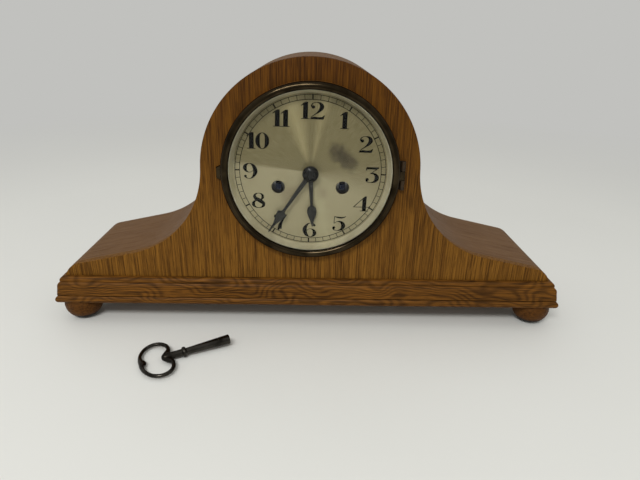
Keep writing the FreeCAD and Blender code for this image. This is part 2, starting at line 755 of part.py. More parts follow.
def bezel_hinge_leaf():
    """Leaf under the bezel with the two outer knuckles, on the face of the front board."""
    half = BEZEL_HINGE_LENGTH / 2
    third = BEZEL_HINGE_LENGTH / 6
    leaf = box(
        HINGE_X - BEZEL_LEAF_WIDTH, HINGE_X, PAN_FLANGE, CASE_FRONT, DIAL_HEIGHT - half, DIAL_HEIGHT + half
    )
    leaf = leaf.cut(disc(CENTRE, BEZEL_RADIUS + SCREW_FIT, PAN_FLANGE - 1, CASE_FRONT + 1))
    knuckles = []
    for low, high in ((-half, -third), (third, half)):
        tube = post(HINGE_X, HINGE_Y, BEZEL_HINGE_RADIUS, DIAL_HEIGHT + low, DIAL_HEIGHT + high)
        knuckles.append(tube)
    body = fused(leaf, *knuckles)
    bore = post(HINGE_X, HINGE_Y, BEZEL_HINGE_PIN, DIAL_HEIGHT - half - 1, DIAL_HEIGHT + half + 1)
    gap = post(HINGE_X, HINGE_Y, BEZEL_HINGE_RADIUS + KNUCKLE_FIT, DIAL_HEIGHT - third, DIAL_HEIGHT + third)
    return one(body.cut(bore).cut(gap))


def bezel_hinge_pin():
    half = BEZEL_HINGE_LENGTH / 2
    return post(HINGE_X, HINGE_Y, BEZEL_HINGE_PIN - RUNNING_FIT, DIAL_HEIGHT - half, DIAL_HEIGHT + half)


def spade_hand(length, boss, bore, angle, y_front):
    """Flat steel hand: a shank that narrows to a neck, a leaf-shaped head and a fine point."""
    neck_at = 0.62 * length
    belly_at = 0.71 * length
    half_shank = HAND_SHANK / 2
    half_neck = HAND_NECK / 2
    half_head = HAND_HEAD / 2
    tip_half = 0.35
    y_back = y_front + HAND_SHEET

    def at(side, across, along):
        return Vec(side * across, y_front, along)

    edges = []
    for side in (1, -1):
        neck = at(side, half_neck, neck_at)
        belly = at(side, half_head, belly_at)
        taper = at(side, half_neck * 0.7, 0.91 * length)
        point = at(side, tip_half, length)
        edges.append(line(at(side, half_shank, 0), neck))
        edges.append(arc(neck, at(side, 0.8 * half_head, 0.655 * length), belly))
        edges.append(arc(belly, at(side, 0.72 * half_head, 0.79 * length), taper))
        edges.append(line(taper, point))
    edges.append(line(at(1, tip_half, length), at(-1, tip_half, length)))
    edges.append(line(at(1, half_shank, 0), at(-1, half_shank, 0)))
    blade = Part.Face(Part.Wire(Part.__sortEdges__(edges))).extrude(Vec(0, y_back - y_front, 0))
    blade.rotate(Vec(0, 0, 0), Vec(0, 1, 0), angle)
    blade.translate(Vec(CENTRE[0], 0, CENTRE[1]))
    hand = fused(blade, disc(CENTRE, boss, y_front, y_back))
    return one(hand.cut(disc(CENTRE, bore, y_front - 1, y_back + 1)))


def hour_hand():
    boss = HOUR_BOSS_RADIUS
    return spade_hand(HOUR_HAND_LENGTH, boss, HOUR_PIPE_RADIUS, HOUR_HAND_ANGLE, HOUR_HAND_FRONT)


def minute_hand():
    boss = MINUTE_BOSS_RADIUS
    return spade_hand(MINUTE_HAND_LENGTH, boss, CENTRE_ARBOR_RADIUS, MINUTE_HAND_ANGLE, MINUTE_HAND_FRONT)


def hand_nut():
    """Domed round nut on the threaded tip of the centre arbor."""
    back = MINUTE_HAND_FRONT
    front = back - HAND_NUT_HEIGHT
    rim = 0.4 * HAND_NUT_HEIGHT
    flat = 0.35 * HAND_NUT_RADIUS

    def at(radius, y):
        return Vec(CENTRE[0] + radius, y, CENTRE[1])

    shoulder = at(0.8 * HAND_NUT_RADIUS, front + 0.28 * HAND_NUT_HEIGHT)
    edges = [
        line(at(CENTRE_ARBOR_RADIUS, back), at(HAND_NUT_RADIUS, back)),
        line(at(HAND_NUT_RADIUS, back), at(HAND_NUT_RADIUS, back - rim)),
        arc(at(HAND_NUT_RADIUS, back - rim), shoulder, at(flat, front)),
        line(at(flat, front), at(CENTRE_ARBOR_RADIUS, front)),
        line(at(CENTRE_ARBOR_RADIUS, front), at(CENTRE_ARBOR_RADIUS, back)),
    ]
    return turned(edges, CENTRE)


# Places of the arbors, each at its gearing distance from the one that drives it
def spacing(module, teeth, leaves):
    return module * (teeth + leaves) / 2


GOING_BARREL = (WINDING_SPREAD, DIAL_HEIGHT - WINDING_DROP)
STRIKE_BARREL = (-WINDING_SPREAD, DIAL_HEIGHT - WINDING_DROP)
SECOND = meeting_point(
    CENTRE, spacing(BARREL_MODULE, SECOND_TEETH, CENTRE_LEAVES),
    GOING_BARREL, spacing(BARREL_MODULE, GREAT_TEETH, SECOND_LEAVES),
)
THIRD = polar(CENTRE, spacing(TRAIN_MODULE, CENTRE_TEETH, THIRD_LEAVES), math.radians(THIRD_DIRECTION))
ESCAPE = (0.0, DIAL_HEIGHT + ESCAPE_RISE)
ANCHOR = (0.0, ESCAPE[1] + ANCHOR_RISE)
FOURTH = meeting_point(
    THIRD, spacing(TRAIN_MODULE, THIRD_TEETH, FOURTH_LEAVES),
    ESCAPE, spacing(TRAIN_MODULE, FOURTH_TEETH, ESCAPE_LEAVES),
)
MOTION_SPACING = spacing(TRAIN_MODULE, MINUTE_TEETH, CANNON_LEAVES)
HOUR_MODULE = 2 * MOTION_SPACING / (HOUR_TEETH + MINUTE_LEAVES)
MINUTE = polar(CENTRE, MOTION_SPACING, math.radians(MINUTE_DIRECTION))
STRIKE_SECOND_SPACING = spacing(BARREL_MODULE, GREAT_TEETH, STRIKE_SECOND_LEAVES)
STRIKE_SECOND = polar(STRIKE_BARREL, STRIKE_SECOND_SPACING, math.radians(STRIKE_SECOND_DIRECTION))
PIN_SPACING = spacing(BARREL_MODULE, STRIKE_SECOND_TEETH, PIN_LEAVES)
PIN = polar(STRIKE_SECOND, PIN_SPACING, math.radians(PIN_DIRECTION))
LOCKING = polar(PIN, spacing(TRAIN_MODULE, PIN_TEETH, LOCKING_LEAVES), math.radians(LOCKING_DIRECTION))
WARNING_SPACING = spacing(TRAIN_MODULE, LOCKING_TEETH, WARNING_LEAVES)
WARNING = polar(LOCKING, WARNING_SPACING, math.radians(WARNING_DIRECTION))
FLY = polar(WARNING, spacing(TRAIN_MODULE, WARNING_TEETH, FLY_LEAVES), math.radians(FLY_DIRECTION))
HAMMER = (-HAMMER_SIDE, DIAL_HEIGHT - HAMMER_DROP)
CLICK_ANGLES = {GOING_BARREL: CLICK_DIRECTION, STRIKE_BARREL: 180.0 - CLICK_DIRECTION}


def click_pivot(barrel):
    return polar(barrel, CLICK_DISTANCE, math.radians(CLICK_ANGLES[barrel]))


# Teeth
def lean(pitch_radius, roller, height):
    """Angle by which a rolled tooth flank leans over at a height above the pitch circle."""
    reach = pitch_radius + height
    span = pitch_radius + roller
    turn = math.acos((span**2 + roller**2 - reach**2) / (2 * span * roller))
    rolled = turn * roller / pitch_radius
    x = span * math.cos(rolled) - roller * math.cos(rolled + turn)
    y = span * math.sin(rolled) - roller * math.sin(rolled + turn)
    return math.atan2(y, x)


def wheel_tooth(teeth, module, leaves):
    """Right flank of a wheel tooth as (radius, half angle) pairs, from the root to the tip."""
    radius = module * teeth / 2
    half = WHEEL_TOOTH_SHARE * math.pi / teeth
    roller = module * leaves / 4
    tall = WHEEL_ADDENDUM * module
    flank = [(radius - WHEEL_DEDENDUM * module, half), (radius, half)]
    for height in (0.5 * tall, tall):
        flank.append((radius + height, half - lean(radius, roller, height)))
    return flank


def pinion_leaf(leaves, module):
    """Right flank of a pinion leaf, straight below the pitch circle and rounded above it."""
    radius = module * leaves / 2
    half = PINION_LEAF_SHARE * math.pi / leaves
    tall = PINION_ADDENDUM * module
    root = radius - PINION_DEDENDUM * module
    return [(root, half), (radius, half), (radius + 0.6 * tall, 0.8 * half), (radius + tall, 0.4 * half)]


def toothed(centre, flank, count, phase, y0, y1):
    points = []
    for k in range(count):
        middle = phase + 2 * math.pi * k / count
        points += [polar(centre, radius, middle - half) for radius, half in flank]
        points += [polar(centre, radius, middle + half) for radius, half in reversed(flank)]
    return slab(points, y0, y1)


def mesh_phase(phase, teeth, mate_teeth, heading):
    """Phase of a mate whose gap takes the tooth that the first wheel holds towards it."""
    offset = heading - phase
    return heading + math.pi + (offset * teeth + math.pi) / mate_teeth


def sector(centre, inner, outer, start, end, y0, y1):
    """Opening between two spokes of a wheel."""
    def at(radius, angle):
        x, z = polar(centre, radius, angle)
        return Vec(x, y0, z)

    middle = (start + end) / 2
    edges = [
        arc(at(outer, start), at(outer, middle), at(outer, end)),
        line(at(outer, end), at(inner, end)),
        arc(at(inner, end), at(inner, middle), at(inner, start)),
        line(at(inner, start), at(outer, start)),
    ]
    return Part.Face(Part.Wire(edges)).extrude(Vec(0, y1 - y0, 0))


def spoked(wheel, centre, rim, y0, y1):
    """Cut the openings between the spokes, inside a rim radius."""
    share = 2 * math.pi / WHEEL_ARMS
    for k in range(WHEEL_ARMS):
        start = share * (k + ARM_SHARE / 2)
        end = share * (k + 1 - ARM_SHARE / 2)
        wheel = wheel.cut(sector(centre, WHEEL_HUB, rim, start, end, y0 - 1, y1 + 1))
    return wheel


def train_wheel(centre, teeth, module, mate_leaves, phase, depth):
    y0 = layer(depth)
    y1 = y0 + WHEEL_SHEET
    flank = wheel_tooth(teeth, module, mate_leaves)
    return spoked(toothed(centre, flank, teeth, phase, y0, y1), centre, flank[0][0] - WHEEL_RIM, y0, y1)


def pinion(centre, leaves, module, phase, depth):
    """Pinion whose length is centred on the wheel that drives it, at that wheel's depth."""
    middle = layer(depth) + WHEEL_SHEET / 2
    half = PINION_LENGTH / 2
    return toothed(centre, pinion_leaf(leaves, module), leaves, phase, middle - half, middle + half)


def arbor(centre):
    """Steel arbor between the plates with a pivot in each."""
    shaft = disc(centre, ARBOR_RADIUS, layer(END_SHAKE), layer(PLATE_GAP - END_SHAKE))
    return fused(shaft, disc(centre, PIVOT_RADIUS, layer(-PLATE_SHEET), layer(PLATE_GAP + PLATE_SHEET)))


# Phases of the going train, from the centre wheel outwards
SECOND_PHASE = mesh_phase(0, CENTRE_LEAVES, SECOND_TEETH, direction(CENTRE, SECOND))
GREAT_PHASE = mesh_phase(0, SECOND_LEAVES, GREAT_TEETH, direction(SECOND, GOING_BARREL))
THIRD_PHASE = mesh_phase(0, CENTRE_TEETH, THIRD_LEAVES, direction(CENTRE, THIRD))
FOURTH_PHASE = mesh_phase(0, THIRD_TEETH, FOURTH_LEAVES, direction(THIRD, FOURTH))
ESCAPE_PHASE = mesh_phase(0, FOURTH_TEETH, ESCAPE_LEAVES, direction(FOURTH, ESCAPE))
MINUTE_PHASE = mesh_phase(0, CANNON_LEAVES, MINUTE_TEETH, direction(CENTRE, MINUTE))
HOUR_PHASE = mesh_phase(0, MINUTE_LEAVES, HOUR_TEETH, direction(MINUTE, CENTRE))
STRIKE_SECOND_PHASE = mesh_phase(0, PIN_LEAVES, STRIKE_SECOND_TEETH, direction(PIN, STRIKE_SECOND))
STRIKE_GREAT_HEADING = direction(STRIKE_SECOND, STRIKE_BARREL)
STRIKE_GREAT_PHASE = mesh_phase(0, STRIKE_SECOND_LEAVES, GREAT_TEETH, STRIKE_GREAT_HEADING)
LOCKING_PHASE = mesh_phase(0, PIN_TEETH, LOCKING_LEAVES, direction(PIN, LOCKING))
WARNING_PHASE = mesh_phase(0, LOCKING_TEETH, WARNING_LEAVES, direction(LOCKING, WARNING))
FLY_PHASE = mesh_phase(0, WARNING_TEETH, FLY_LEAVES, direction(WARNING, FLY))
GREAT_LAYER = DRUM_LAYER - GREAT_SHEET
STRIKE_GREAT_LAYER = DRUM_LAYER + DRUM_HEIGHT


def second_wheel():
    wheel = train_wheel(SECOND, SECOND_TEETH, BARREL_MODULE, CENTRE_LEAVES, SECOND_PHASE, SECOND_LAYER)
    leaf = pinion(SECOND, SECOND_LEAVES, BARREL_MODULE, 0, GREAT_LAYER)
    return fused(arbor(SECOND), wheel, leaf)


def centre_wheel():
    """Centre wheel on the long arbor that reaches out to the hands."""
    wheel = train_wheel(CENTRE, CENTRE_TEETH, TRAIN_MODULE, THIRD_LEAVES, 0, CENTRE_LAYER)
    leaf = pinion(CENTRE, CENTRE_LEAVES, BARREL_MODULE, 0, SECOND_LAYER)
    tip = MINUTE_HAND_FRONT - 0.8 * HAND_NUT_HEIGHT
    shaft = disc(CENTRE, CENTRE_ARBOR_RADIUS, tip, layer(PLATE_GAP - END_SHAKE))
    pivot = disc(CENTRE, PIVOT_RADIUS, layer(PLATE_GAP - 1), layer(PLATE_GAP + PLATE_SHEET))
    return fused(shaft, pivot, wheel, leaf)


def third_wheel():
    wheel = train_wheel(THIRD, THIRD_TEETH, TRAIN_MODULE, FOURTH_LEAVES, 0, THIRD_LAYER)
    leaf = pinion(THIRD, THIRD_LEAVES, TRAIN_MODULE, THIRD_PHASE, CENTRE_LAYER)
    return fused(arbor(THIRD), wheel, leaf)


def fourth_wheel():
    wheel = train_wheel(FOURTH, FOURTH_TEETH, TRAIN_MODULE, ESCAPE_LEAVES, 0, FOURTH_LAYER)
    leaf = pinion(FOURTH, FOURTH_LEAVES, TRAIN_MODULE, FOURTH_PHASE, THIRD_LAYER)
    return fused(arbor(FOURTH), wheel, leaf)


def escape_wheel():
    y0 = layer(ESCAPE_LAYER)
    y1 = y0 + WHEEL_SHEET
    pitch = 2 * math.pi / ESCAPE_TEETH
    root = ESCAPE_RADIUS - ESCAPE_TOOTH
    points = []
    for k in range(ESCAPE_TEETH):
        points.append(polar(ESCAPE, root, pitch * k))
        points.append(polar(ESCAPE, ESCAPE_RADIUS, pitch * (k + 0.55)))
        points.append(polar(ESCAPE, ESCAPE_RADIUS, pitch * (k + 0.68)))
    wheel = spoked(slab(points, y0, y1), ESCAPE, root - 0.6 * WHEEL_RIM, y0, y1)
    leaf = pinion(ESCAPE, ESCAPE_LEAVES, TRAIN_MODULE, ESCAPE_PHASE, FOURTH_LAYER)
    return fused(arbor(ESCAPE), wheel, leaf)


def cannon_pinion():
    """Friction-fitted pipe on the centre arbor that carries the minute hand."""
    low = layer(MINUTE_LAYER) - 0.5 * WHEEL_SHEET
    high = layer(-PLATE_SHEET) - END_SHAKE
    leaf = toothed(CENTRE, pinion_leaf(CANNON_LEAVES, TRAIN_MODULE), CANNON_LEAVES, 0, low, high)
    pipe = disc(CENTRE, CANNON_RADIUS, MINUTE_HAND_BACK, high)
    return one(fused(pipe, leaf).cut(disc(CENTRE, CENTRE_ARBOR_RADIUS, MINUTE_HAND_BACK - 1, high + 1)))


def minute_wheel():
    wheel = train_wheel(MINUTE, MINUTE_TEETH, TRAIN_MODULE, CANNON_LEAVES, MINUTE_PHASE, MINUTE_LAYER)
    low = layer(HOUR_LAYER) - 0.5 * WHEEL_SHEET
    flank = pinion_leaf(MINUTE_LEAVES, HOUR_MODULE)
    leaf = toothed(MINUTE, flank, MINUTE_LEAVES, 0, low, layer(MINUTE_LAYER))
    bore = disc(MINUTE, PIVOT_RADIUS + RUNNING_FIT, low - 1, layer(0))
    return one(fused(wheel, leaf).cut(bore))


def hour_wheel():
    """Hour wheel on a pipe that turns round the cannon pinion."""
    flank = wheel_tooth(HOUR_TEETH, HOUR_MODULE, MINUTE_LEAVES)
    y0 = layer(HOUR_LAYER)
    y1 = y0 + WHEEL_SHEET
    blank = toothed(CENTRE, flank, HOUR_TEETH, HOUR_PHASE, y0, y1)
    wheel = spoked(blank, CENTRE, flank[0][0] - WHEEL_RIM, y0, y1)
    pipe = disc(CENTRE, HOUR_PIPE_RADIUS, HOUR_HAND_FRONT, y1)
    return one(fused(pipe, wheel).cut(disc(CENTRE, CANNON_RADIUS + RUNNING_FIT, HOUR_HAND_FRONT - 1, y1 + 1)))


def barrel(centre, wheel_depth, phase, mate_leaves):
    """Spring barrel: great wheel, drum wall and the two ends with their bores."""
    flank = wheel_tooth(GREAT_TEETH, BARREL_MODULE, mate_leaves)
    wheel = toothed(centre, flank, GREAT_TEETH, phase, layer(wheel_depth), layer(wheel_depth + GREAT_SHEET))
    front = layer(DRUM_LAYER)
    back = front + DRUM_HEIGHT
    drum = disc(centre, DRUM_RADIUS, front, back)
    hollow = disc(centre, DRUM_RADIUS - DRUM_WALL, front + DRUM_WALL, back - DRUM_WALL)
    bore = disc(centre, WINDING_ARBOR_RADIUS + RUNNING_FIT, layer(0), layer(PLATE_GAP))
    return one(fused(drum, wheel).cut(hollow).cut(bore))


def mainspring(centre, hand):
    """Strip of spring steel wound inside a drum; hand is 1 where it is wound clockwise, and -1 the other way."""
    y0 = layer(DRUM_LAYER) + DRUM_WALL + SPRING_SIDE_GAP
    y1 = layer(DRUM_LAYER) + DRUM_HEIGHT - DRUM_WALL - SPRING_SIDE_GAP
    outside = DRUM_RADIUS - DRUM_WALL - SPRING_GAP - SPRING_SHEET / 2
    steps_per_turn = 24
    steps = SPRING_TURNS * steps_per_turn
    inner = []
    outer = []
    for k in range(steps + 1):
        radius = SPRING_START + (outside - SPRING_START) * k / steps
        angle = hand * 2 * math.pi * k / steps_per_turn
        inner.append(polar(centre, radius - SPRING_SHEET / 2, angle))
        outer.append(polar(centre, radius + SPRING_SHEET / 2, angle))
    return slab(inner + outer[::-1], y0, y1)


def square_bar(centre, across, y0, y1):
    half = across / 2
    return box(centre[0] - half, centre[0] + half, y0, y1, centre[1] - half, centre[1] + half)


def winding_arbor(centre):
    """Arbor of a barrel with its winding square, which ends just behind the dial."""
    shaft = disc(centre, WINDING_ARBOR_RADIUS, layer(END_SHAKE), layer(PLATE_GAP - END_SHAKE))
    front = disc(centre, WINDING_PIVOT_RADIUS, layer(-PLATE_SHEET), layer(END_SHAKE))
    rear = disc(centre, WINDING_REAR_PIVOT, layer(PLATE_GAP - END_SHAKE), layer(PLATE_GAP + PLATE_SHEET))
    square = square_bar(centre, WINDING_SQUARE, DIAL_BACK + WINDING_TIP_GAP, layer(-PLATE_SHEET))
    return fused(shaft, front, rear, square)


def ratchet(centre, hand):
    """Ratchet on a winding square, whose steep faces look back against the way of winding."""
    y0 = layer(RATCHET_LAYER)
    y1 = y0 + RATCHET_SHEET
    pitch = hand * 2 * math.pi / RATCHET_TEETH
    points = []
    for k in range(RATCHET_TEETH):
        points.append(polar(centre, RATCHET_RADIUS - RATCHET_TOOTH, pitch * k))
        points.append(polar(centre, RATCHET_RADIUS, pitch * (k + 0.9)))
    return one(slab(points, y0, y1).cut(square_bar(centre, WINDING_SQUARE, y0 - 1, y1 + 1)))


def click(barrel_at):
    """Pawl beside a ratchet, on a stud of the front plate."""
    y0 = layer(RATCHET_LAYER)
    y1 = y0 + RATCHET_SHEET
    pivot = click_pivot(barrel_at)
    turn = math.copysign(CLICK_REACH, 90.0 - CLICK_ANGLES[barrel_at])
    nose_angle = math.radians(CLICK_ANGLES[barrel_at] + turn)
    nose = polar(barrel_at, RATCHET_RADIUS + CLICK_GAP, nose_angle)
    back = polar(barrel_at, RATCHET_RADIUS + CLICK_GAP + 2.0, nose_angle)
    side = direction(pivot, nose) + math.pi / 2
    wing = 0.8 * CLICK_BOSS_RADIUS
    corners = [polar(pivot, wing, side), nose, back, polar(pivot, wing, side + math.pi)]
    if math.dist(corners[0], nose) > math.dist(corners[3], nose):
        corners[0], corners[3] = corners[3], corners[0]
    arm = slab(corners, y0, y1)
    body = fused(disc(pivot, CLICK_BOSS_RADIUS, y0, y1), arm)
    return one(body.cut(disc(pivot, CLICK_STUD_RADIUS + RUNNING_FIT, y0 - 1, y1 + 1)))


# Frame of the movement
PLAIN_PIVOTS = [SECOND, THIRD, FOURTH, ESCAPE, STRIKE_SECOND, PIN, LOCKING, WARNING, FLY]


def plate(y0, holes):
    low = DIAL_HEIGHT - PLATE_BOTTOM
    high = DIAL_HEIGHT + PLATE_TOP
    sheet = box(-PLATE_HALF_WIDTH, PLATE_HALF_WIDTH, y0, y0 + PLATE_SHEET, low, high)
    pillar_holes = [(point, PILLAR_END_RADIUS + SCREW_FIT) for point in PILLAR_POINTS]
    tools = [disc(point, radius, y0 - 1, y0 + PLATE_SHEET + 1) for point, radius in holes + pillar_holes]
    return one(sheet.cut(Part.makeCompound(tools)))


def front_plate():
    """Front plate with the riveted studs of the clicks and the minute wheel."""
    holes = [(point, PIVOT_RADIUS + RUNNING_FIT) for point in PLAIN_PIVOTS + [ANCHOR, HAMMER]]
    holes.append((CENTRE, CENTRE_ARBOR_RADIUS + RUNNING_FIT))
    holes += [(point, WINDING_PIVOT_RADIUS + RUNNING_FIT) for point in (GOING_BARREL, STRIKE_BARREL)]
    sheet = plate(layer(-PLATE_SHEET), holes)
    studs = []
    for point in (GOING_BARREL, STRIKE_BARREL):
        studs.append(disc(click_pivot(point), CLICK_STUD_RADIUS, layer(RATCHET_LAYER), layer(-PLATE_SHEET)))
    studs.append(disc(MINUTE, PIVOT_RADIUS, layer(HOUR_LAYER) - WHEEL_SHEET, layer(-PLATE_SHEET)))
    return fused(sheet, *studs)


def back_plate():
    holes = [(point, PIVOT_RADIUS + RUNNING_FIT) for point in PLAIN_PIVOTS + [CENTRE]]
    holes += [(point, WINDING_REAR_PIVOT + RUNNING_FIT) for point in (GOING_BARREL, STRIKE_BARREL)]
    holes.append((HAMMER, HAMMER_ARBOR_RADIUS + RUNNING_FIT))
    holes.append((ANCHOR, 2 * ARBOR_RADIUS))
    return plate(BACK_PLATE_INSIDE, holes)


STRAP_FRONT = layer(-PLATE_SHEET) - STRAP_SHEET


def pillar(point):
    body = disc(point, PILLAR_RADIUS, layer(0), BACK_PLATE_INSIDE)
    start = STRAP_FRONT - PILLAR_NUT_HEIGHT
    thread = disc(point, PILLAR_END_RADIUS, start, BACK_PLATE_REAR + PILLAR_NUT_HEIGHT)
    return fused(body, thread)


def pillar_nut(point, y0):
    nut = hexagon(point, PILLAR_NUT_RADIUS, y0, y0 + PILLAR_NUT_HEIGHT)
    return one(nut.cut(disc(point, PILLAR_END_RADIUS + SCREW_FIT, y0 - 1, y0 + PILLAR_NUT_HEIGHT + 1)))


def strap(pillar_point, board_point):
    """Steel strap under a pillar's nut, with the post that stands on the front board."""
    bar = link(pillar_point, board_point, STRAP_HALF_WIDTH, STRAP_FRONT, layer(-PLATE_SHEET))
    body = fused(bar, disc(board_point, STRAP_HALF_WIDTH, BOARD_BACK, STRAP_FRONT))
    body = body.cut(disc(pillar_point, PILLAR_END_RADIUS + SCREW_FIT, BOARD_BACK, layer(0)))
    return one(body.cut(disc(board_point, STRAP_SCREW_RADIUS + SCREW_FIT, BOARD_BACK - 1, layer(0))))


def strap_screw(point):
    seat = layer(-PLATE_SHEET)
    head = disc(point, STRAP_SCREW_HEAD_RADIUS, seat, seat + STRAP_SCREW_HEAD)
    return fused(head, disc(point, STRAP_SCREW_RADIUS, BOARD_BACK - STRAP_SCREW_BITE, seat))


# Escapement and pendulum
COCK_FRONT = BACK_PLATE_REAR + COCK_ROOM
COCK_BACK = COCK_FRONT + PLATE_SHEET
CRUTCH_Y = BACK_PLATE_REAR + CRUTCH_ROOM


def anchor():
    """Anchor with its pallets, its arbor and the crutch that embraces the pendulum rod."""
    y0 = layer(ESCAPE_LAYER) + WHEEL_SHEET / 2 - PALLET_SHEET / 2
    y1 = y0 + PALLET_SHEET
    nib_angle = math.radians(90.0 - PALLET_SPREAD)
    nib_x, nib_z = polar(ESCAPE, ESCAPE_RADIUS + PALLET_GAP, nib_angle)
    outer_x, outer_z = polar(ESCAPE, ESCAPE_RADIUS + 2 * PALLET_GAP, nib_angle)
    thick = 1.5 * PALLET_SHEET
    body = disc(ANCHOR, thick, y0, y1)
    parts = []
    for side in (1, -1):
        corners = [
            (0.0, ANCHOR[1] + 0.6 * thick),
            (side * (outer_x + 0.5 * thick), nib_z + 1.2 * thick),
            (side * (outer_x + 0.4 * thick), outer_z - 0.2 * thick),
            (side * nib_x, nib_z),
            (side * outer_x, outer_z + 0.3 * thick),
            (0.0, ANCHOR[1] - 0.6 * thick),
        ]
        parts.append(slab(corners, y0, y1))
    shaft = disc(ANCHOR, ARBOR_RADIUS, layer(END_SHAKE), COCK_FRONT - END_SHAKE)
    pivot = disc(ANCHOR, PIVOT_RADIUS, layer(-PLATE_SHEET), COCK_BACK)
    foot_z = ANCHOR[1] - CRUTCH_LENGTH
    crutch_back = CRUTCH_Y + CRUTCH_SHEET
    arm_top = ANCHOR[1] + CRUTCH_HALF_WIDTH
    arm = box(-CRUTCH_HALF_WIDTH, CRUTCH_HALF_WIDTH, CRUTCH_Y, crutch_back, foot_z, arm_top)
    inside = PENDULUM_ROD_RADIUS + FORK_FIT
    outside = inside + FORK_BAR
    fork_top = foot_z + 2 * FORK_BAR
    yoke = box(-outside, outside, CRUTCH_Y, crutch_back, foot_z, fork_top)
    tines = []
    for low, high in ((-outside, -inside), (inside, outside)):
        tines.append(box(low, high, CRUTCH_Y, PENDULUM_Y + 2 * PENDULUM_ROD_RADIUS, foot_z, fork_top))
    return fused(body, shaft, pivot, arm, yoke, *parts, *tines)


def pendulum_cock():
    """Bridge on the back plate with the anchor's rear bearing and the post of the suspension."""
    low = ANCHOR[1] - COCK_DROP
    high = ANCHOR[1] + COCK_HEIGHT
    bridge = box(-COCK_HALF_WIDTH, COCK_HALF_WIDTH, COCK_FRONT, COCK_BACK, low, high)
    feet = []
    for low_x, high_x in (
        (-COCK_HALF_WIDTH, COCK_FOOT_WIDTH - COCK_HALF_WIDTH),
        (COCK_HALF_WIDTH - COCK_FOOT_WIDTH, COCK_HALF_WIDTH),
    ):
        feet.append(box(low_x, high_x, BACK_PLATE_REAR, COCK_FRONT, low, ANCHOR[1] + COCK_DROP))
    tail = PENDULUM_Y + SUSPENSION_WIDTH / 2 + SUSPENSION_SHEET
    stub = box(-SUSPENSION_POST, SUSPENSION_POST, COCK_BACK, tail, ANCHOR[1] + END_SHAKE, high)
    body = fused(bridge, stub, *feet)
    return one(body.cut(disc(ANCHOR, PIVOT_RADIUS + RUNNING_FIT, COCK_FRONT - 1, COCK_BACK + 1)))


RATING_NUT_FOOT = PLINTH_TOP + PENDULUM_FLOOR_GAP
BOB_CENTRE = (0.0, RATING_NUT_FOOT + RATING_NUT_HEIGHT + BOB_RADIUS)
ROD_TOP = ANCHOR[1] - SUSPENSION_LENGTH + FERRULE_LENGTH / 2


def suspension_spring():
    half = SUSPENSION_SHEET / 2
    wide = SUSPENSION_WIDTH / 2
    return box(-half, half, PENDULUM_Y - wide, PENDULUM_Y + wide, ROD_TOP, ANCHOR[1])


def pendulum_rod():
    """Steel rod with the ferrule that grips the suspension spring."""
    ferrule_foot = ROD_TOP - FERRULE_LENGTH
    rod = post(0, PENDULUM_Y, PENDULUM_ROD_RADIUS, RATING_NUT_FOOT, ferrule_foot)
    return fused(rod, post(0, PENDULUM_Y, FERRULE_RADIUS, ferrule_foot, ROD_TOP))


def pendulum_bob():
    """Lens-shaped bob bored from top to bottom for the rod."""
    def at(radius, y):
        return Vec(BOB_CENTRE[0] + radius, y, BOB_CENTRE[1])

    front = PENDULUM_Y - BOB_THICKNESS / 2
    back = PENDULUM_Y + BOB_THICKNESS / 2
    edge_front = PENDULUM_Y - BOB_EDGE / 2
    edge_back = PENDULUM_Y + BOB_EDGE / 2
    bend = 0.72
    edges = [
        arc(at(0, front), at(bend * BOB_RADIUS, (front + edge_front) / 2), at(BOB_RADIUS, edge_front)),
        line(at(BOB_RADIUS, edge_front), at(BOB_RADIUS, edge_back)),
        arc(at(BOB_RADIUS, edge_back), at(bend * BOB_RADIUS, (back + edge_back) / 2), at(0, back)),
        line(at(0, back), at(0, front)),
    ]
    bore = post(0, PENDULUM_Y, PENDULUM_ROD_RADIUS + SCREW_FIT, RATING_NUT_FOOT, ANCHOR[1])
    return one(turned(edges, BOB_CENTRE).cut(bore))


def rating_nut():
    nut = post(0, PENDULUM_Y, RATING_NUT_RADIUS, RATING_NUT_FOOT, RATING_NUT_FOOT + RATING_NUT_HEIGHT)
    bore = post(0, PENDULUM_Y, PENDULUM_ROD_RADIUS + SCREW_FIT, RATING_NUT_FOOT - 1, BOB_CENTRE[1])
    return one(nut.cut(bore))


# Striking work
def strike_second_wheel():
    wheel = train_wheel(
        STRIKE_SECOND,
        STRIKE_SECOND_TEETH,
        BARREL_MODULE,
        PIN_LEAVES,
        STRIKE_SECOND_PHASE,
        STRIKE_SECOND_LAYER,
    )
    leaf = pinion(STRIKE_SECOND, STRIKE_SECOND_LEAVES, BARREL_MODULE, 0, STRIKE_GREAT_LAYER)
    return fused(arbor(STRIKE_SECOND), wheel, leaf)


def pin_wheel():
    """Wheel whose pins lift the hammer."""
    wheel = train_wheel(PIN, PIN_TEETH, TRAIN_MODULE, LOCKING_LEAVES, 0, PIN_LAYER)
    y0 = layer(PIN_LAYER)
    y1 = y0 + WHEEL_SHEET
    band = ring(PIN, PIN_CIRCLE + 2 * PIN_RADIUS, PIN_CIRCLE - 2 * PIN_RADIUS, y0, y1)
    places = [polar(PIN, PIN_CIRCLE, 2 * math.pi * k / PIN_COUNT) for k in range(PIN_COUNT)]
    pins = [disc(point, PIN_RADIUS, y0, y1 + PIN_LENGTH) for point in places]
    leaf = pinion(PIN, PIN_LEAVES, BARREL_MODULE, 0, STRIKE_SECOND_LAYER)
    return fused(arbor(PIN), wheel, band, leaf, *pins)


def locking_wheel():
    wheel = train_wheel(LOCKING, LOCKING_TEETH, TRAIN_MODULE, WARNING_LEAVES, 0, LOCKING_LAYER)
    leaf = pinion(LOCKING, LOCKING_LEAVES, TRAIN_MODULE, LOCKING_PHASE, PIN_LAYER)
    return fused(arbor(LOCKING), wheel, leaf)


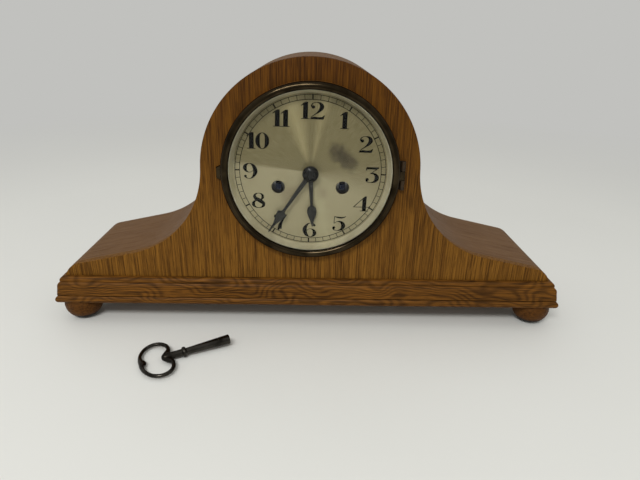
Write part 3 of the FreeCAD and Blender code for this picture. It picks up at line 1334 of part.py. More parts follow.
def warning_wheel():
    wheel = train_wheel(WARNING, WARNING_TEETH, TRAIN_MODULE, FLY_LEAVES, 0, WARNING_LAYER)
    leaf = pinion(WARNING, WARNING_LEAVES, TRAIN_MODULE, WARNING_PHASE, LOCKING_LAYER)
    return fused(arbor(WARNING), wheel, leaf)


def fly():
    """Air brake of the striking train."""
    y0 = layer(FLY_LAYER)
    half = FLY_SHEET / 2
    vane = box(FLY[0] - FLY_RADIUS, FLY[0] + FLY_RADIUS, y0, y0 + FLY_LENGTH, FLY[1] - half, FLY[1] + half)
    leaf = pinion(FLY, FLY_LEAVES, TRAIN_MODULE, FLY_PHASE, WARNING_LAYER)
    return fused(arbor(FLY), vane, leaf)


GONG_Z = PLINTH_TOP + GONG_ROD_HEIGHT
GONG_ROWS = (GONG_Y, GONG_Y + GONG_ROD_PITCH)
HAMMER_HEAD = (HAMMER[0] - HAMMER_REACH, GONG_Z + GONG_ROD_RADIUS + HAMMER_REST_GAP + HAMMER_HEAD_RADIUS)


def hammer():
    """Hammer arbor with its lifting tail between the plates and the head over the gong rods."""
    shaft = disc(HAMMER, HAMMER_ARBOR_RADIUS, layer(END_SHAKE), CRUTCH_Y + HAMMER_BAR_SHEET)
    pivot = disc(HAMMER, PIVOT_RADIUS, layer(-PLATE_SHEET), layer(END_SHAKE))
    heading = direction(PIN, HAMMER)
    clear = PIN_CIRCLE + PIN_RADIUS + HAMMER_TAIL_GAP + HAMMER_BAR_HALF
    tail_y = layer(HAMMER_TAIL_LAYER)
    tail = link(HAMMER, polar(PIN, clear, heading), HAMMER_BAR_HALF, tail_y, tail_y + HAMMER_BAR_SHEET)
    bar = link(HAMMER, HAMMER_HEAD, HAMMER_BAR_HALF, CRUTCH_Y, CRUTCH_Y + HAMMER_BAR_SHEET)
    middle = (GONG_ROWS[0] + GONG_ROWS[1]) / 2
    head_front = middle - HAMMER_HEAD_LENGTH / 2
    stem = disc(HAMMER_HEAD, HAMMER_STEM_RADIUS, CRUTCH_Y, head_front)
    head = disc(HAMMER_HEAD, HAMMER_HEAD_RADIUS, head_front, head_front + HAMMER_HEAD_LENGTH)
    return fused(shaft, pivot, tail, bar, stem, head)


def gong_block():
    """Cast block on the plinth that grips the gong rods."""
    block = box(
        GONG_BLOCK_X,
        GONG_BLOCK_X + GONG_BLOCK_LENGTH,
        GONG_ROWS[0] - GONG_ROD_RADIUS - GONG_BLOCK_WALL,
        GONG_ROWS[1] + GONG_ROD_RADIUS + GONG_BLOCK_WALL,
        PLINTH_TOP,
        PLINTH_TOP + GONG_BLOCK_HEIGHT,
    )
    hole = GONG_ROD_RADIUS + SCREW_FIT
    for y in GONG_ROWS:
        start = Vec(GONG_BLOCK_X - 1, y, GONG_Z)
        block = block.cut(Part.makeCylinder(hole, GONG_ROD_GRIP + 1, start, Vec(1, 0, 0)))
    return one(block)


def gong_rod(y):
    end = Vec(GONG_BLOCK_X + GONG_ROD_GRIP, y, GONG_Z)
    return Part.makeCylinder(GONG_ROD_RADIUS, GONG_ROD_LENGTH, end, Vec(-1, 0, 0))


# Back of the case
DOOR_FOOT = DIAL_HEIGHT - DOOR_DROP
DOOR_TOP = DIAL_HEIGHT + DOOR_RISE
DOOR_HINGE_X = -DOOR_HALF_WIDTH
DOOR_HINGE_Y = PANEL_BACK + DOOR_HINGE_RADIUS + KNUCKLE_FIT
DOOR_MIDDLE = (DOOR_FOOT + DOOR_TOP) / 2
DOOR_HINGE_LEVELS = (DOOR_MIDDLE - DOOR_HINGE_SPREAD, DOOR_MIDDLE + DOOR_HINGE_SPREAD)
CATCH = (DOOR_HALF_WIDTH + CATCH_HALF_WIDTH + CATCH_EDGE_GAP, DOOR_MIDDLE)
CATCH_FRONT = PANEL_BACK + CATCH_LIFT


def back_panel():
    panel = case_slab(SHELL_WALL + PANEL_FIT, PANEL_FRONT, PANEL_BACK)
    opening = box(-DOOR_HALF_WIDTH, DOOR_HALF_WIDTH, PANEL_FRONT - 1, PANEL_BACK + 1, DOOR_FOOT, DOOR_TOP)
    pin_hole = disc(CATCH, CATCH_PIN_RADIUS + RUNNING_FIT, PANEL_FRONT - 1, PANEL_BACK + 1)
    return one(panel.cut(opening).cut(pin_hole))


def back_door():
    side = DOOR_HALF_WIDTH - DOOR_FIT
    return box(-side, side, PANEL_FRONT, PANEL_BACK, DOOR_FOOT + DOOR_FIT, DOOR_TOP - DOOR_FIT)


def door_hinge(level, moving):
    """Half of a butt hinge: the door's half has the middle knuckle, the panel's the outer two and the pin."""
    half = DOOR_HINGE_LENGTH / 2
    third = DOOR_HINGE_LENGTH / 6
    leaf_back = PANEL_BACK + DOOR_HINGE_SHEET
    if moving:
        spans = ((-third + KNUCKLE_FIT, third - KNUCKLE_FIT),)
        sides = (DOOR_HINGE_X + DOOR_FIT, DOOR_HINGE_X + DOOR_HINGE_LEAF)
    else:
        spans = ((-half, -third), (third, half))
        sides = (DOOR_HINGE_X - DOOR_HINGE_LEAF, DOOR_HINGE_X)
    leaf = box(sides[0], sides[1], PANEL_BACK, leaf_back, level - half, level + half)
    knuckles = [post(DOOR_HINGE_X, DOOR_HINGE_Y, DOOR_HINGE_RADIUS, level + a, level + b) for a, b in spans]
    body = fused(leaf, *knuckles)
    if moving:
        bore = post(DOOR_HINGE_X, DOOR_HINGE_Y, DOOR_HINGE_PIN + RUNNING_FIT, level - half, level + half)
        spare = DOOR_HINGE_RADIUS + KNUCKLE_FIT
        for a, b in ((-half, -third + KNUCKLE_FIT), (third - KNUCKLE_FIT, half)):
            body = body.cut(post(DOOR_HINGE_X, DOOR_HINGE_Y, spare, level + a, level + b))
        return one(body.cut(bore))
    spare = post(DOOR_HINGE_X, DOOR_HINGE_Y, DOOR_HINGE_RADIUS + KNUCKLE_FIT, level - third, level + third)
    pin = post(DOOR_HINGE_X, DOOR_HINGE_Y, DOOR_HINGE_PIN, level - half, level + half)
    return fused(body.cut(spare), pin)


def door_catch():
    """Turn button, upright when the door is free."""
    half = CATCH_LENGTH / 2 - CATCH_HALF_WIDTH
    ends = [(CATCH[0], CATCH[1] - half), (CATCH[0], CATCH[1] + half)]
    bar = link(ends[0], ends[1], CATCH_HALF_WIDTH, CATCH_FRONT, CATCH_FRONT + CATCH_SHEET)
    return fused(bar, disc(CATCH, CATCH_PIN_RADIUS, PANEL_FRONT, CATCH_FRONT))


def winding_key():
    """Key with a kidney-shaped bow, lying on its bow and the rim of its barrel."""
    bow_at = KEY_BOW_RADIUS
    sheet = KEY_BOW_SHEET / 2

    def flat_disc(x, y, radius):
        return Part.makeCylinder(radius, KEY_BOW_SHEET, Vec(x, y, -sheet))

    def kidney(radius):
        lobes = flat_disc(bow_at, KEY_BOW_SPREAD, radius).fuse(flat_disc(bow_at, -KEY_BOW_SPREAD, radius))
        sides = (bow_at - radius, bow_at + radius)
        return lobes.fuse(box(sides[0], sides[1], -KEY_BOW_SPREAD, KEY_BOW_SPREAD, -sheet, sheet))

    inner = KEY_BOW_RADIUS - KEY_BOW_BAR
    window = kidney(inner)
    window = window.cut(flat_disc(bow_at + inner, 0, KEY_CUSP_RADIUS))
    window = window.cut(flat_disc(bow_at - inner, 0, KEY_BOW_BAR / 2))
    bow = kidney(KEY_BOW_RADIUS).cut(window)
    shank_start = bow_at + inner
    shank_end = 2 * KEY_BOW_RADIUS + KEY_SHANK_LENGTH
    shank = Part.makeCylinder(KEY_SHANK_RADIUS, shank_end - shank_start, Vec(shank_start, 0, 0), Vec(1, 0, 0))
    collar = Part.makeCylinder(KEY_COLLAR_RADIUS, KEY_COLLAR_LENGTH, Vec(shank_end, 0, 0), Vec(1, 0, 0))
    barrel_start = shank_end + KEY_COLLAR_LENGTH
    cone = Part.makeCone(
        KEY_SHANK_RADIUS, KEY_BARREL_RADIUS, KEY_LENGTH - barrel_start, Vec(barrel_start, 0, 0), Vec(1, 0, 0)
    )
    key = fused(bow, shank, collar, cone)
    half = (WINDING_SQUARE + KEY_SOCKET_FIT) / 2
    socket = box(KEY_LENGTH - KEY_SOCKET_DEPTH, KEY_LENGTH + 1, -half, half, -half, half)
    key = one(key.cut(socket))
    tilt = math.atan2(KEY_BARREL_RADIUS - sheet, KEY_LENGTH - bow_at)
    key.translate(Vec(-KEY_LENGTH, 0, KEY_BARREL_RADIUS))
    key.rotate(Vec(0, 0, 0), Vec(0, 1, 0), -math.degrees(tilt))
    key.rotate(Vec(0, 0, 0), Vec(0, 0, 1), KEY_HEADING)
    key.translate(Vec(KEY_TIP_X, KEY_TIP_Y, -key.BoundBox.ZMin))
    return key


os.makedirs("parts", exist_ok=True)
save("front_board", front_board())
save("top_shell", top_shell())
save("plinth", plinth())
save("bun_feet", *[foot(x, y) for x, y in FOOT_POINTS])
save("foot_screws", *[foot_screw(x, y) for x, y in FOOT_POINTS])
save("dial_pan", dial_pan())
save("pan_screws", *[pan_screw(point) for point in PAN_SCREW_POINTS])
save("dial_plate", dial_plate())
save("sight_ring", sight_ring())
save("bezel_ring", bezel_ring())
save("bezel_glass", bezel_glass())
save("bezel_hinge_leaf", bezel_hinge_leaf())
save("bezel_hinge_pin", bezel_hinge_pin())
save("hour_hand", hour_hand())
save("minute_hand", minute_hand())
save("hand_nut", hand_nut())
save("front_plate", front_plate())
save("back_plate", back_plate())
save("plate_pillars", *[pillar(point) for point in PILLAR_POINTS])
NUT_LEVELS = (STRAP_FRONT - PILLAR_NUT_HEIGHT, BACK_PLATE_REAR)
save("pillar_nuts", *[pillar_nut(point, y) for y in NUT_LEVELS for point in PILLAR_POINTS])
save("movement_straps", *[strap(a, b) for a, b in zip(PILLAR_POINTS, STRAP_POINTS)])
save("strap_screws", *[strap_screw(point) for point in STRAP_POINTS])
save("going_barrel", barrel(GOING_BARREL, GREAT_LAYER, GREAT_PHASE, SECOND_LEAVES))
save("strike_barrel", barrel(STRIKE_BARREL, STRIKE_GREAT_LAYER, STRIKE_GREAT_PHASE, STRIKE_SECOND_LEAVES))
for side, place, hand in (("going", GOING_BARREL, 1), ("strike", STRIKE_BARREL, -1)):
    save(side + "_mainspring", mainspring(place, hand))
    save(side + "_winding_arbor", winding_arbor(place))
    save(side + "_ratchet", ratchet(place, hand))
    save(side + "_click", click(place))
save("second_wheel", second_wheel())
save("centre_wheel", centre_wheel())
save("third_wheel", third_wheel())
save("fourth_wheel", fourth_wheel())
save("escape_wheel", escape_wheel())
save("cannon_pinion", cannon_pinion())
save("minute_wheel", minute_wheel())
save("hour_wheel", hour_wheel())
save("anchor", anchor())
save("pendulum_cock", pendulum_cock())
save("suspension_spring", suspension_spring())
save("pendulum_rod", pendulum_rod())
save("pendulum_bob", pendulum_bob())
save("rating_nut", rating_nut())
save("strike_second_wheel", strike_second_wheel())
save("pin_wheel", pin_wheel())
save("locking_wheel", locking_wheel())
save("warning_wheel", warning_wheel())
save("fly", fly())
save("hammer", hammer())
save("gong_block", gong_block())
save("gong_rods", *[gong_rod(y) for y in GONG_ROWS])
save("back_panel", back_panel())
save("back_door", back_door())
save("back_hinges_panel", *[door_hinge(level, False) for level in DOOR_HINGE_LEVELS])
save("back_hinges_door", *[door_hinge(level, True) for level in DOOR_HINGE_LEVELS])
save("door_catch", door_catch())
save("winding_key", winding_key())
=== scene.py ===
import math

import bmesh
import bpy
from mathutils import Matrix, Vector
from mathutils.geometry import delaunay_2d_cdt


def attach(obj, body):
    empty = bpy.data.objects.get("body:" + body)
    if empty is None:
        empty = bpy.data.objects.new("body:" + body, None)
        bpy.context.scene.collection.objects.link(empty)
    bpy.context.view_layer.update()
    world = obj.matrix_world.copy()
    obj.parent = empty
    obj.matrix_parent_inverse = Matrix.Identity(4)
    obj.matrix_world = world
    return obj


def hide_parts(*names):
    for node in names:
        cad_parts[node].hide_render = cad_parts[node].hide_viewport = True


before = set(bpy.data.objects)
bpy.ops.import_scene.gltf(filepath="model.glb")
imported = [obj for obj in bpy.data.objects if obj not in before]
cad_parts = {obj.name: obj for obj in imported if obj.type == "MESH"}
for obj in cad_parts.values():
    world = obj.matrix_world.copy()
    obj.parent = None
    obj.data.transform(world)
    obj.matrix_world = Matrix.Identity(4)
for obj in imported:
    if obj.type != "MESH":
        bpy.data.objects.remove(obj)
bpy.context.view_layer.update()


# Front board of the case: 8 mm oak-faced board sawn to the hat outline, with a round opening for the dial.
# It is glued to the front edges of the bent top and its sharp edge is eased with sandpaper.
MM = 0.001
MERGE_GAP = 0.0005
DIAL_CENTRE = (0.0, 140.0)
PLINTH_TOP = 44.0
# Rounded ends of the case, outside and inside: half length, radius, and drop of the centre below the plinth.
OUTER_END = (216.5, 17.0, 5.56)
INNER_END = (215.5, 24.0, 11.4)
BOARD_FRONT = -48.25
BOARD_BACK = -40.25
BOARD_APERTURE = 68.7
BOARD_EASE = 0.8


def arc(centre, radius, start, end, steps):
    """Points of a circular arc between two angles in degrees, both ends included."""
    angles = [math.radians(start + (end - start) * k / steps) for k in range(steps + 1)]
    return [(centre[0] + radius * math.cos(a), centre[1] + radius * math.sin(a)) for a in angles]


def case_outline(inset, end=OUTER_END):
    """Front view of the case from its right foot over the arch to its left foot, drawn in by an inset."""
    arch_radius = 90.7
    neck_radius = 82.0
    half_length, end_radius, end_drop = end
    slope = 12.4
    tilt = math.radians(slope)
    end_centre = (half_length - math.sqrt(end_radius ** 2 - end_drop ** 2), PLINTH_TOP - end_drop)
    above_line = (
        end_centre[0] + (end_radius + neck_radius) * math.sin(tilt),
        end_centre[1] + (end_radius + neck_radius) * math.cos(tilt) - DIAL_CENTRE[1],
    )
    along = above_line[0] * math.cos(tilt) - above_line[1] * math.sin(tilt)
    spare = along ** 2 - above_line[0] ** 2 - above_line[1] ** 2 + (arch_radius + neck_radius) ** 2
    back = along - math.sqrt(spare)
    neck_centre = (
        above_line[0] - back * math.cos(tilt),
        above_line[1] + back * math.sin(tilt) + DIAL_CENTRE[1],
    )
    crown = math.degrees(math.atan2(neck_centre[1] - DIAL_CENTRE[1], neck_centre[0]))
    foot = math.degrees(math.asin(end_drop / (end_radius - inset)))
    half = arc(end_centre, end_radius - inset, foot, 90 - slope, 14)
    half += arc(neck_centre, neck_radius + inset, 270 - slope, 180 + crown, 44)
    half += arc(DIAL_CENTRE, arch_radius - inset, crown, 90, 60)[1:]
    return half + [(-x, z) for x, z in reversed(half[:-1])]


def add_piece(name, mesh, material, body, slot, *nodes, crease=30):
    """Finished piece from a bmesh in millimetres: merged, turned outwards, dressed and tied to its body."""
    bmesh.ops.remove_doubles(mesh, verts=mesh.verts, dist=MERGE_GAP)
    bmesh.ops.recalc_face_normals(mesh, faces=mesh.faces)
    bmesh.ops.scale(mesh, verts=mesh.verts, vec=(MM, MM, MM))
    data = bpy.data.meshes.new(name)
    mesh.to_mesh(data)
    mesh.free()
    data.shade_smooth()
    data.set_sharp_from_angle(angle=math.radians(crease))
    data.materials.append(material)
    piece = bpy.data.objects.new(name, data)
    bpy.context.scene.collection.objects.link(piece)
    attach(piece, body)
    if nodes:
        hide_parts(*nodes)


def bridge(mesh, first, second):
    """Quads between two closed rows of as many corners."""
    count = len(first)
    for k in range(count):
        mesh.faces.new((first[k], first[(k + 1) % count], second[(k + 1) % count], second[k]))


def fill(mesh, *loops):
    """Flat cap over closed rows of corners, with the later rows as holes."""
    edges = []
    for loop in loops:
        for a, b in zip(loop, loop[1:] + loop[:1]):
            edges.append(mesh.edges.get((a, b)) or mesh.edges.new((a, b)))
    bmesh.ops.triangle_fill(mesh, use_beauty=True, edges=edges)


def row(mesh, points, y):
    """Row of corners at a depth, from (x, z) points."""
    return [mesh.verts.new((x, y, z)) for x, z in points]


def node(tree, kind, settings=None, **sockets):
    """Shader node with its settings and its sockets set or linked."""
    made = tree.nodes.new("ShaderNode" + kind)
    for key, value in (settings or {}).items():
        setattr(made, key, value)
    for key, value in sockets.items():
        join(tree, made.inputs[key], value)
    return made


def join(tree, socket, value):
    """Set a socket to a value, or link it from another socket."""
    if isinstance(value, bpy.types.NodeSocket):
        tree.links.new(value, socket)
    else:
        socket.default_value = value


def calc(tree, operation, first, second=0.0):
    """Result of a sum on one or two values."""
    made = tree.nodes.new("ShaderNodeMath")
    made.operation = operation
    join(tree, made.inputs[0], first)
    join(tree, made.inputs[1], second)
    return made.outputs[0]


def mixed(tree, factor, first, second, mode="MIX"):
    """Colour mixed from two by a factor."""
    made = tree.nodes.new("ShaderNodeMix")
    made.data_type = "RGBA"
    made.blend_type = mode
    join(tree, made.inputs[0], factor)
    join(tree, made.inputs[6], first)
    join(tree, made.inputs[7], second)
    return made.outputs[2]


def stepped(tree, value, low, high, start=0.0, end=1.0):
    """Value stretched from one range to another and held inside it."""
    made = node(tree, "MapRange", Value=value)
    for name, amount in (("From Min", low), ("From Max", high), ("To Min", start), ("To Max", end)):
        made.inputs[name].default_value = amount
    return made.outputs[0]


def srgb(red, green, blue):
    """Linear colour of a display tone given in 0 to 255."""
    def straight(tone):
        share = tone / 255
        return share / 12.92 if share <= 0.04045 else ((share + 0.055) / 1.055) ** 2.4

    return (straight(red), straight(green), straight(blue), 1.0)


def new_material(name):
    """Material with its tree and its shader, which is wired to the output."""
    made = bpy.data.materials.new(name)
    made.use_nodes = True
    shader = made.node_tree.nodes["Principled BSDF"]
    return made, made.node_tree, shader


def grain_place(tree, turn, offset=(0.0, 0.0, 0.0)):
    """Object place turned so that its first axis follows the grain."""
    place = node(tree, "TexCoord").outputs["Object"]
    return node(tree, "Mapping", Vector=place, Rotation=turn, Location=offset).outputs[0]


def oak(name, place_of, tones, gloss, shine, figure=0.0, pores=0.65):
    """Oak in (light, dark, pore) tones.

    It has a broad tone, growth bands, streaks and short dark pores, all along the grain.
    """
    material, tree, shader = new_material(name)
    light, dark, pore = tones
    place = place_of(tree)

    def noise(along, across, detail, rough=0.6):
        stretched = node(tree, "Mapping", Vector=place, Scale=(along, across, across)).outputs[0]
        made = node(tree, "TexNoise", Vector=stretched, Scale=1.0, Detail=detail, Roughness=rough)
        return made.outputs["Fac"]

    def share(value, low, high, weight):
        return calc(tree, "MULTIPLY", stepped(tree, value, low, high), weight)

    broad = noise(5, 30, 3)
    streak = noise(9, 1000, 4, 0.7)
    fibre = noise(24, 1800, 3, 0.7)
    dashes = noise(24, 1150, 2, 0.55)
    flecks = noise(55, 1700, 2, 0.5)
    place_axes = node(tree, "SeparateXYZ", Vector=place)
    sideways = calc(tree, "ADD", place_axes.outputs[1], place_axes.outputs[2])
    wander = calc(tree, "MULTIPLY", noise(9, 18, 2), 0.055 * (1.0 + 1.5 * figure))
    rings = calc(tree, "MULTIPLY", calc(tree, "ADD", sideways, wander), 650.0 + 500.0 * figure)
    bands = calc(tree, "SINE", rings)
    tone = calc(tree, "ADD", share(streak, 0.4, 0.6, 0.5 - 0.1 * figure), share(broad, 0.34, 0.66, 0.15))
    tone = calc(tree, "ADD", tone, share(bands, -1.0, 0.6, 0.08 + 0.26 * figure))
    tone = calc(tree, "ADD", tone, share(fibre, 0.34, 0.66, 0.25 - 0.1 * figure))
    colour = mixed(tree, tone, dark, light)
    dark_marks = calc(tree, "MAXIMUM", stepped(tree, dashes, 0.54, 0.64), share(flecks, 0.54, 0.62, 0.8))
    colour = mixed(tree, calc(tree, "MULTIPLY", dark_marks, pores), colour, pore)
    join(tree, shader.inputs["Base Color"], colour)
    rough = stepped(tree, tone, 0.0, 1.0, gloss + 0.1, gloss - 0.05)
    join(tree, shader.inputs["Roughness"], calc(tree, "ADD", rough, calc(tree, "MULTIPLY", dark_marks, 0.15)))
    shader.inputs["Specular IOR Level"].default_value = shine
    depth = calc(tree, "SUBTRACT", calc(tree, "MULTIPLY", fibre, 0.4), dark_marks)
    bump = node(tree, "Bump", Height=depth, Strength=0.3, Distance=0.0003)
    join(tree, shader.inputs["Normal"], bump.outputs[0])
    return material


def shaded(material, low, high, tone, mode="MIX"):
    """Lay painted shade over a material's colour, from none at one height to full at another."""
    tree = material.node_tree
    colour = tree.nodes["Principled BSDF"].inputs["Base Color"]
    height = node(tree, "SeparateXYZ", Vector=node(tree, "TexCoord").outputs["Object"]).outputs[2]
    plain = colour.links[0].from_socket
    join(tree, colour, mixed(tree, stepped(tree, height, low, high), plain, tone, mode))


def front_grain(tree):
    return grain_place(tree, (0.0, math.radians(90), 0.0))


OAK_PORE = srgb(42, 21, 3)
oak_front = oak("oak_front", front_grain, (srgb(138, 94, 31), srgb(74, 43, 8), OAK_PORE), 0.5, 0.1)
# Painted shade: the front is darkened from about 90 mm up to the top of the arch, where the upper front gets
# less light.
shaded(oak_front, 0.09, 0.225, (0.53, 0.43, 0.15, 1.0), "MULTIPLY")

board = bmesh.new()
board_rows = []
for turn in (0, 30, 60, 90):
    inset = BOARD_EASE * (1 - math.sin(math.radians(turn)))
    depth = BOARD_FRONT + BOARD_EASE * (1 - math.cos(math.radians(turn)))
    board_rows.append(row(board, case_outline(inset), depth))
board_rows.append(row(board, case_outline(0.0), BOARD_BACK))
aperture = arc(DIAL_CENTRE, BOARD_APERTURE, 0, 360, 128)[:-1]
aperture_rows = [row(board, aperture, BOARD_FRONT), row(board, aperture, BOARD_BACK)]
for first, second in zip(board_rows, board_rows[1:]):
    bridge(board, first, second)
bridge(board, *aperture_rows)
fill(board, board_rows[0], aperture_rows[0])
fill(board, board_rows[-1], aperture_rows[1])
add_piece("oak_front_board", board, oak_front, "root", "oak_front", "front_board")


# Bent top of the case: thin oak ply bent over the arch and shoulders in one sheet, its grain along the bend.
# It is glued behind the front board and stands on the plinth.
SHELL_BACK = 57.75
SHELL_WALL = 5.0
SHELL_EASE = 0.6


def top_grain(tree):
    return node(tree, "UVMap", {"uv_map": "bend"}).outputs[0]


top_tones = (srgb(118, 84, 46), srgb(86, 57, 28), srgb(62, 40, 17))
oak_top = oak("oak_top", top_grain, top_tones, 0.5, 0.15, pores=0.35)

shell = bmesh.new()
outside = case_outline(0.0)
inside = case_outline(SHELL_WALL, INNER_END)
walked = [0.0]
for (xa, za), (xb, zb) in zip(outside, outside[1:]):
    walked.append(walked[-1] + math.hypot(xb - xa, zb - za))
# Each row has its outline, its depth and its run across the sheet, round from the front edge to the inside.
shell_section = [
    (outside, BOARD_BACK, 0.0),
    (outside, SHELL_BACK - SHELL_EASE, 98.0),
    (case_outline(SHELL_EASE), SHELL_BACK, 99.0),
    (inside, SHELL_BACK, 103.0),
    (inside, BOARD_BACK, 201.0),
    (outside, BOARD_BACK, 206.0),
]
bend_map = shell.loops.layers.uv.new("bend")
shell_rows = [row(shell, points, depth) for points, depth, _ in shell_section]
for k in range(len(shell_section) - 1):
    for n in range(len(outside) - 1):
        corners = ((k, n), (k, n + 1), (k + 1, n + 1), (k + 1, n))
        face = shell.faces.new([shell_rows[a][b] for a, b in corners])
        for corner, (a, b) in zip(face.loops, corners):
            corner[bend_map].uv = (walked[b] * MM, shell_section[a][2] * MM)
for n in (0, -1):
    shell.faces.new([shell_rows[k][n] for k in range(len(shell_section) - 1)])
add_piece("oak_bent_top", shell, oak_top, "root", "oak_top", "top_shell")


# Plinth: oak moulding mitred round the front and both ends of a base board, flush at the back.
# From the foot up it has a bead, a quirk, a plain fascia and two rounds with a step between them.
PLINTH_FOOT = 20.5
PLINTH_HALF = 215.5
END_GRAIN_SHIFT = 700


def through(first, middle, last, steps):
    """Points of the arc through three points, both ends included."""
    ax, az = first
    bx, bz = middle
    cx, cz = last
    spread = 2 * (ax * (bz - cz) + bx * (cz - az) + cx * (az - bz))
    a2, b2, c2 = ax * ax + az * az, bx * bx + bz * bz, cx * cx + cz * cz
    ox = (a2 * (bz - cz) + b2 * (cz - az) + c2 * (az - bz)) / spread
    oz = (a2 * (cx - bx) + b2 * (ax - cx) + c2 * (bx - ax)) / spread
    start = math.atan2(az - oz, ax - ox)
    passed = (math.atan2(bz - oz, bx - ox) - start) % math.tau
    sweep = (math.atan2(cz - oz, cx - ox) - start) % math.tau
    if passed > sweep:
        sweep -= math.tau
    radius = math.hypot(ax - ox, az - oz)
    return arc((ox, oz), radius, math.degrees(start), math.degrees(start + sweep), steps)


def moulding_section():
    """(Overhang, height) points of the moulding from its foot to the top of the plinth."""
    overhang = 9.5
    bead = 6.2
    bead_edge = overhang - bead / 4
    quirk = 0.8
    groove = 5.5
    fascia_foot = 7.9
    fascia_top = 6.9
    fascia_height = 7.7
    lower_height = 4.2
    upper_height = 4.6
    lower_edge = 5.1
    upper_edge = 4.6
    ledge = 1.0

    def leaning(outer, inner, level, height, bulge):
        middle = ((outer + inner) / 2 + bulge * height, level + height / 2 + bulge * (outer - inner))
        return through((outer, level), middle, (inner, level + height), 8)

    level = PLINTH_FOOT
    points = through((bead_edge, level), (overhang, level + bead / 2), (bead_edge, level + bead), 10)
    level += bead
    points += [(groove, level), (groove, level + quirk)]
    level += quirk
    points += [(fascia_foot, level), (fascia_top, level + fascia_height)]
    level += fascia_height
    points += leaning(fascia_top, lower_edge, level, lower_height, 0.12)[1:]
    level += lower_height
    points += leaning(upper_edge, ledge, level, upper_height, 0.3)
    return points


def plinth_grain(tree):
    return node(tree, "UVMap", {"uv_map": "run"}).outputs[0]


plinth_tones = (srgb(127, 81, 26), srgb(38, 20, 3), srgb(24, 12, 2))
oak_plinth = oak("oak_plinth", plinth_grain, plinth_tones, 0.45, 0.1, figure=1.0, pores=0.7)

plinth = bmesh.new()
run_map = plinth.loops.layers.uv.new("run")
moulding = moulding_section()
climbed = [0.0]
for (oa, za), (ob, zb) in zip(moulding, moulding[1:]):
    climbed.append(climbed[-1] + math.hypot(ob - oa, zb - za))
plinth_rows = []
for over, level in moulding:
    reach = PLINTH_HALF + over
    front = BOARD_FRONT - over
    corners = [(reach, SHELL_BACK), (reach, front), (-reach, front), (-reach, SHELL_BACK)]
    plinth_rows.append([plinth.verts.new((x, y, level)) for x, y in corners])
for k in range(len(moulding) - 1):
    for n in range(3):
        places = ((k, n), (k, n + 1), (k + 1, n + 1), (k + 1, n))
        face = plinth.faces.new([plinth_rows[a][b] for a, b in places])
        for corner, (a, b) in zip(face.loops, places):
            along = corner.vert.co.x if n == 1 else corner.vert.co.y + END_GRAIN_SHIFT * (n + 1)
            corner[run_map].uv = (along * MM, climbed[a] * MM)
for cap in (plinth_rows[0], plinth_rows[-1]):
    face = plinth.faces.new(cap)
    for corner in face.loops:
        corner[run_map].uv = (corner.vert.co.x * MM, corner.vert.co.y * MM)
ends = [rows[0] for rows in plinth_rows] + [rows[3] for rows in reversed(plinth_rows)]
face = plinth.faces.new(ends)
for corner in face.loops:
    corner[run_map].uv = (corner.vert.co.x * MM, corner.vert.co.z * MM)
add_piece("oak_plinth", plinth, oak_plinth, "root", "oak_plinth", "plinth", crease=25)


# Bun feet: four turned oak feet, each with a recess in its sole and a screw through it into the plinth.
# Their lowest few millimetres are darkened, painted shade where the feet meet the table.
FOOT_X = 208.0
FOOT_Y = 40.75
FOOT_SOLE = 5.4
FOOT_BELLY = (16.4, 14.0)
FOOT_NECK = 15.0
FOOT_BORE = 2.05
FOOT_BORE_END = 8.6
FOOT_SCREW_HEAD = 3.85
FOOT_RECESS = 4.0
FOOT_RECESS_END = 6.0
FOOT_RECESS_EASE = 0.6
FOOT_PLACES = [(sx * FOOT_X, sy * FOOT_Y) for sx in (-1, 1) for sy in (-1, 1)]


def turned(mesh, section, place_of, turns):
    """Ring of faces from a closed section of (radius, level) points, placed by radius, level and angle."""
    rows = []
    for k in range(turns):
        angle = math.tau * k / turns
        rows.append([mesh.verts.new(place_of(radius, level, angle)) for radius, level in section])
    count = len(section)
    for k in range(turns):
        here, there = rows[k], rows[(k + 1) % turns]
        for n in range(count):
            last = (n + 1) % count
            corners = (here[n], there[n], there[last], here[last])
            if section[n][0] == 0 and section[last][0] == 0:
                continue
            if section[n][0] == 0:
                corners = (here[n], there[last], here[last])
            elif section[last][0] == 0:
                corners = (here[n], there[n], here[last])
            mesh.faces.new(corners)


def foot_grain(tree):
    return grain_place(tree, (0.0, 0.0, 0.0))


oak_feet = oak("oak_feet", foot_grain, (srgb(104, 65, 22), srgb(60, 33, 8), OAK_PORE), 0.45, 0.1)
# Painted shade: each foot turns dark below about 6 mm, towards the table.
shaded(oak_feet, 0.0065, 0.004, srgb(12, 9, 6))

feet = bmesh.new()
foot_section = through((FOOT_SOLE, 0.0), FOOT_BELLY, (FOOT_NECK, PLINTH_FOOT), 20)
foot_section += [
    (FOOT_BORE, PLINTH_FOOT), (FOOT_BORE, FOOT_BORE_END), (FOOT_SCREW_HEAD, FOOT_RECESS_END),
    (FOOT_RECESS, FOOT_RECESS_END), (FOOT_RECESS, FOOT_RECESS_EASE), (FOOT_RECESS + FOOT_RECESS_EASE, 0.0),
]
for foot_x, foot_y in FOOT_PLACES:
    def on_foot(radius, level, angle):
        return (foot_x + radius * math.cos(angle), foot_y + radius * math.sin(angle), level)

    turned(feet, foot_section, on_foot, 64)
add_piece("turned_bun_feet", feet, oak_feet, "root", "dark_feet", "bun_feet")


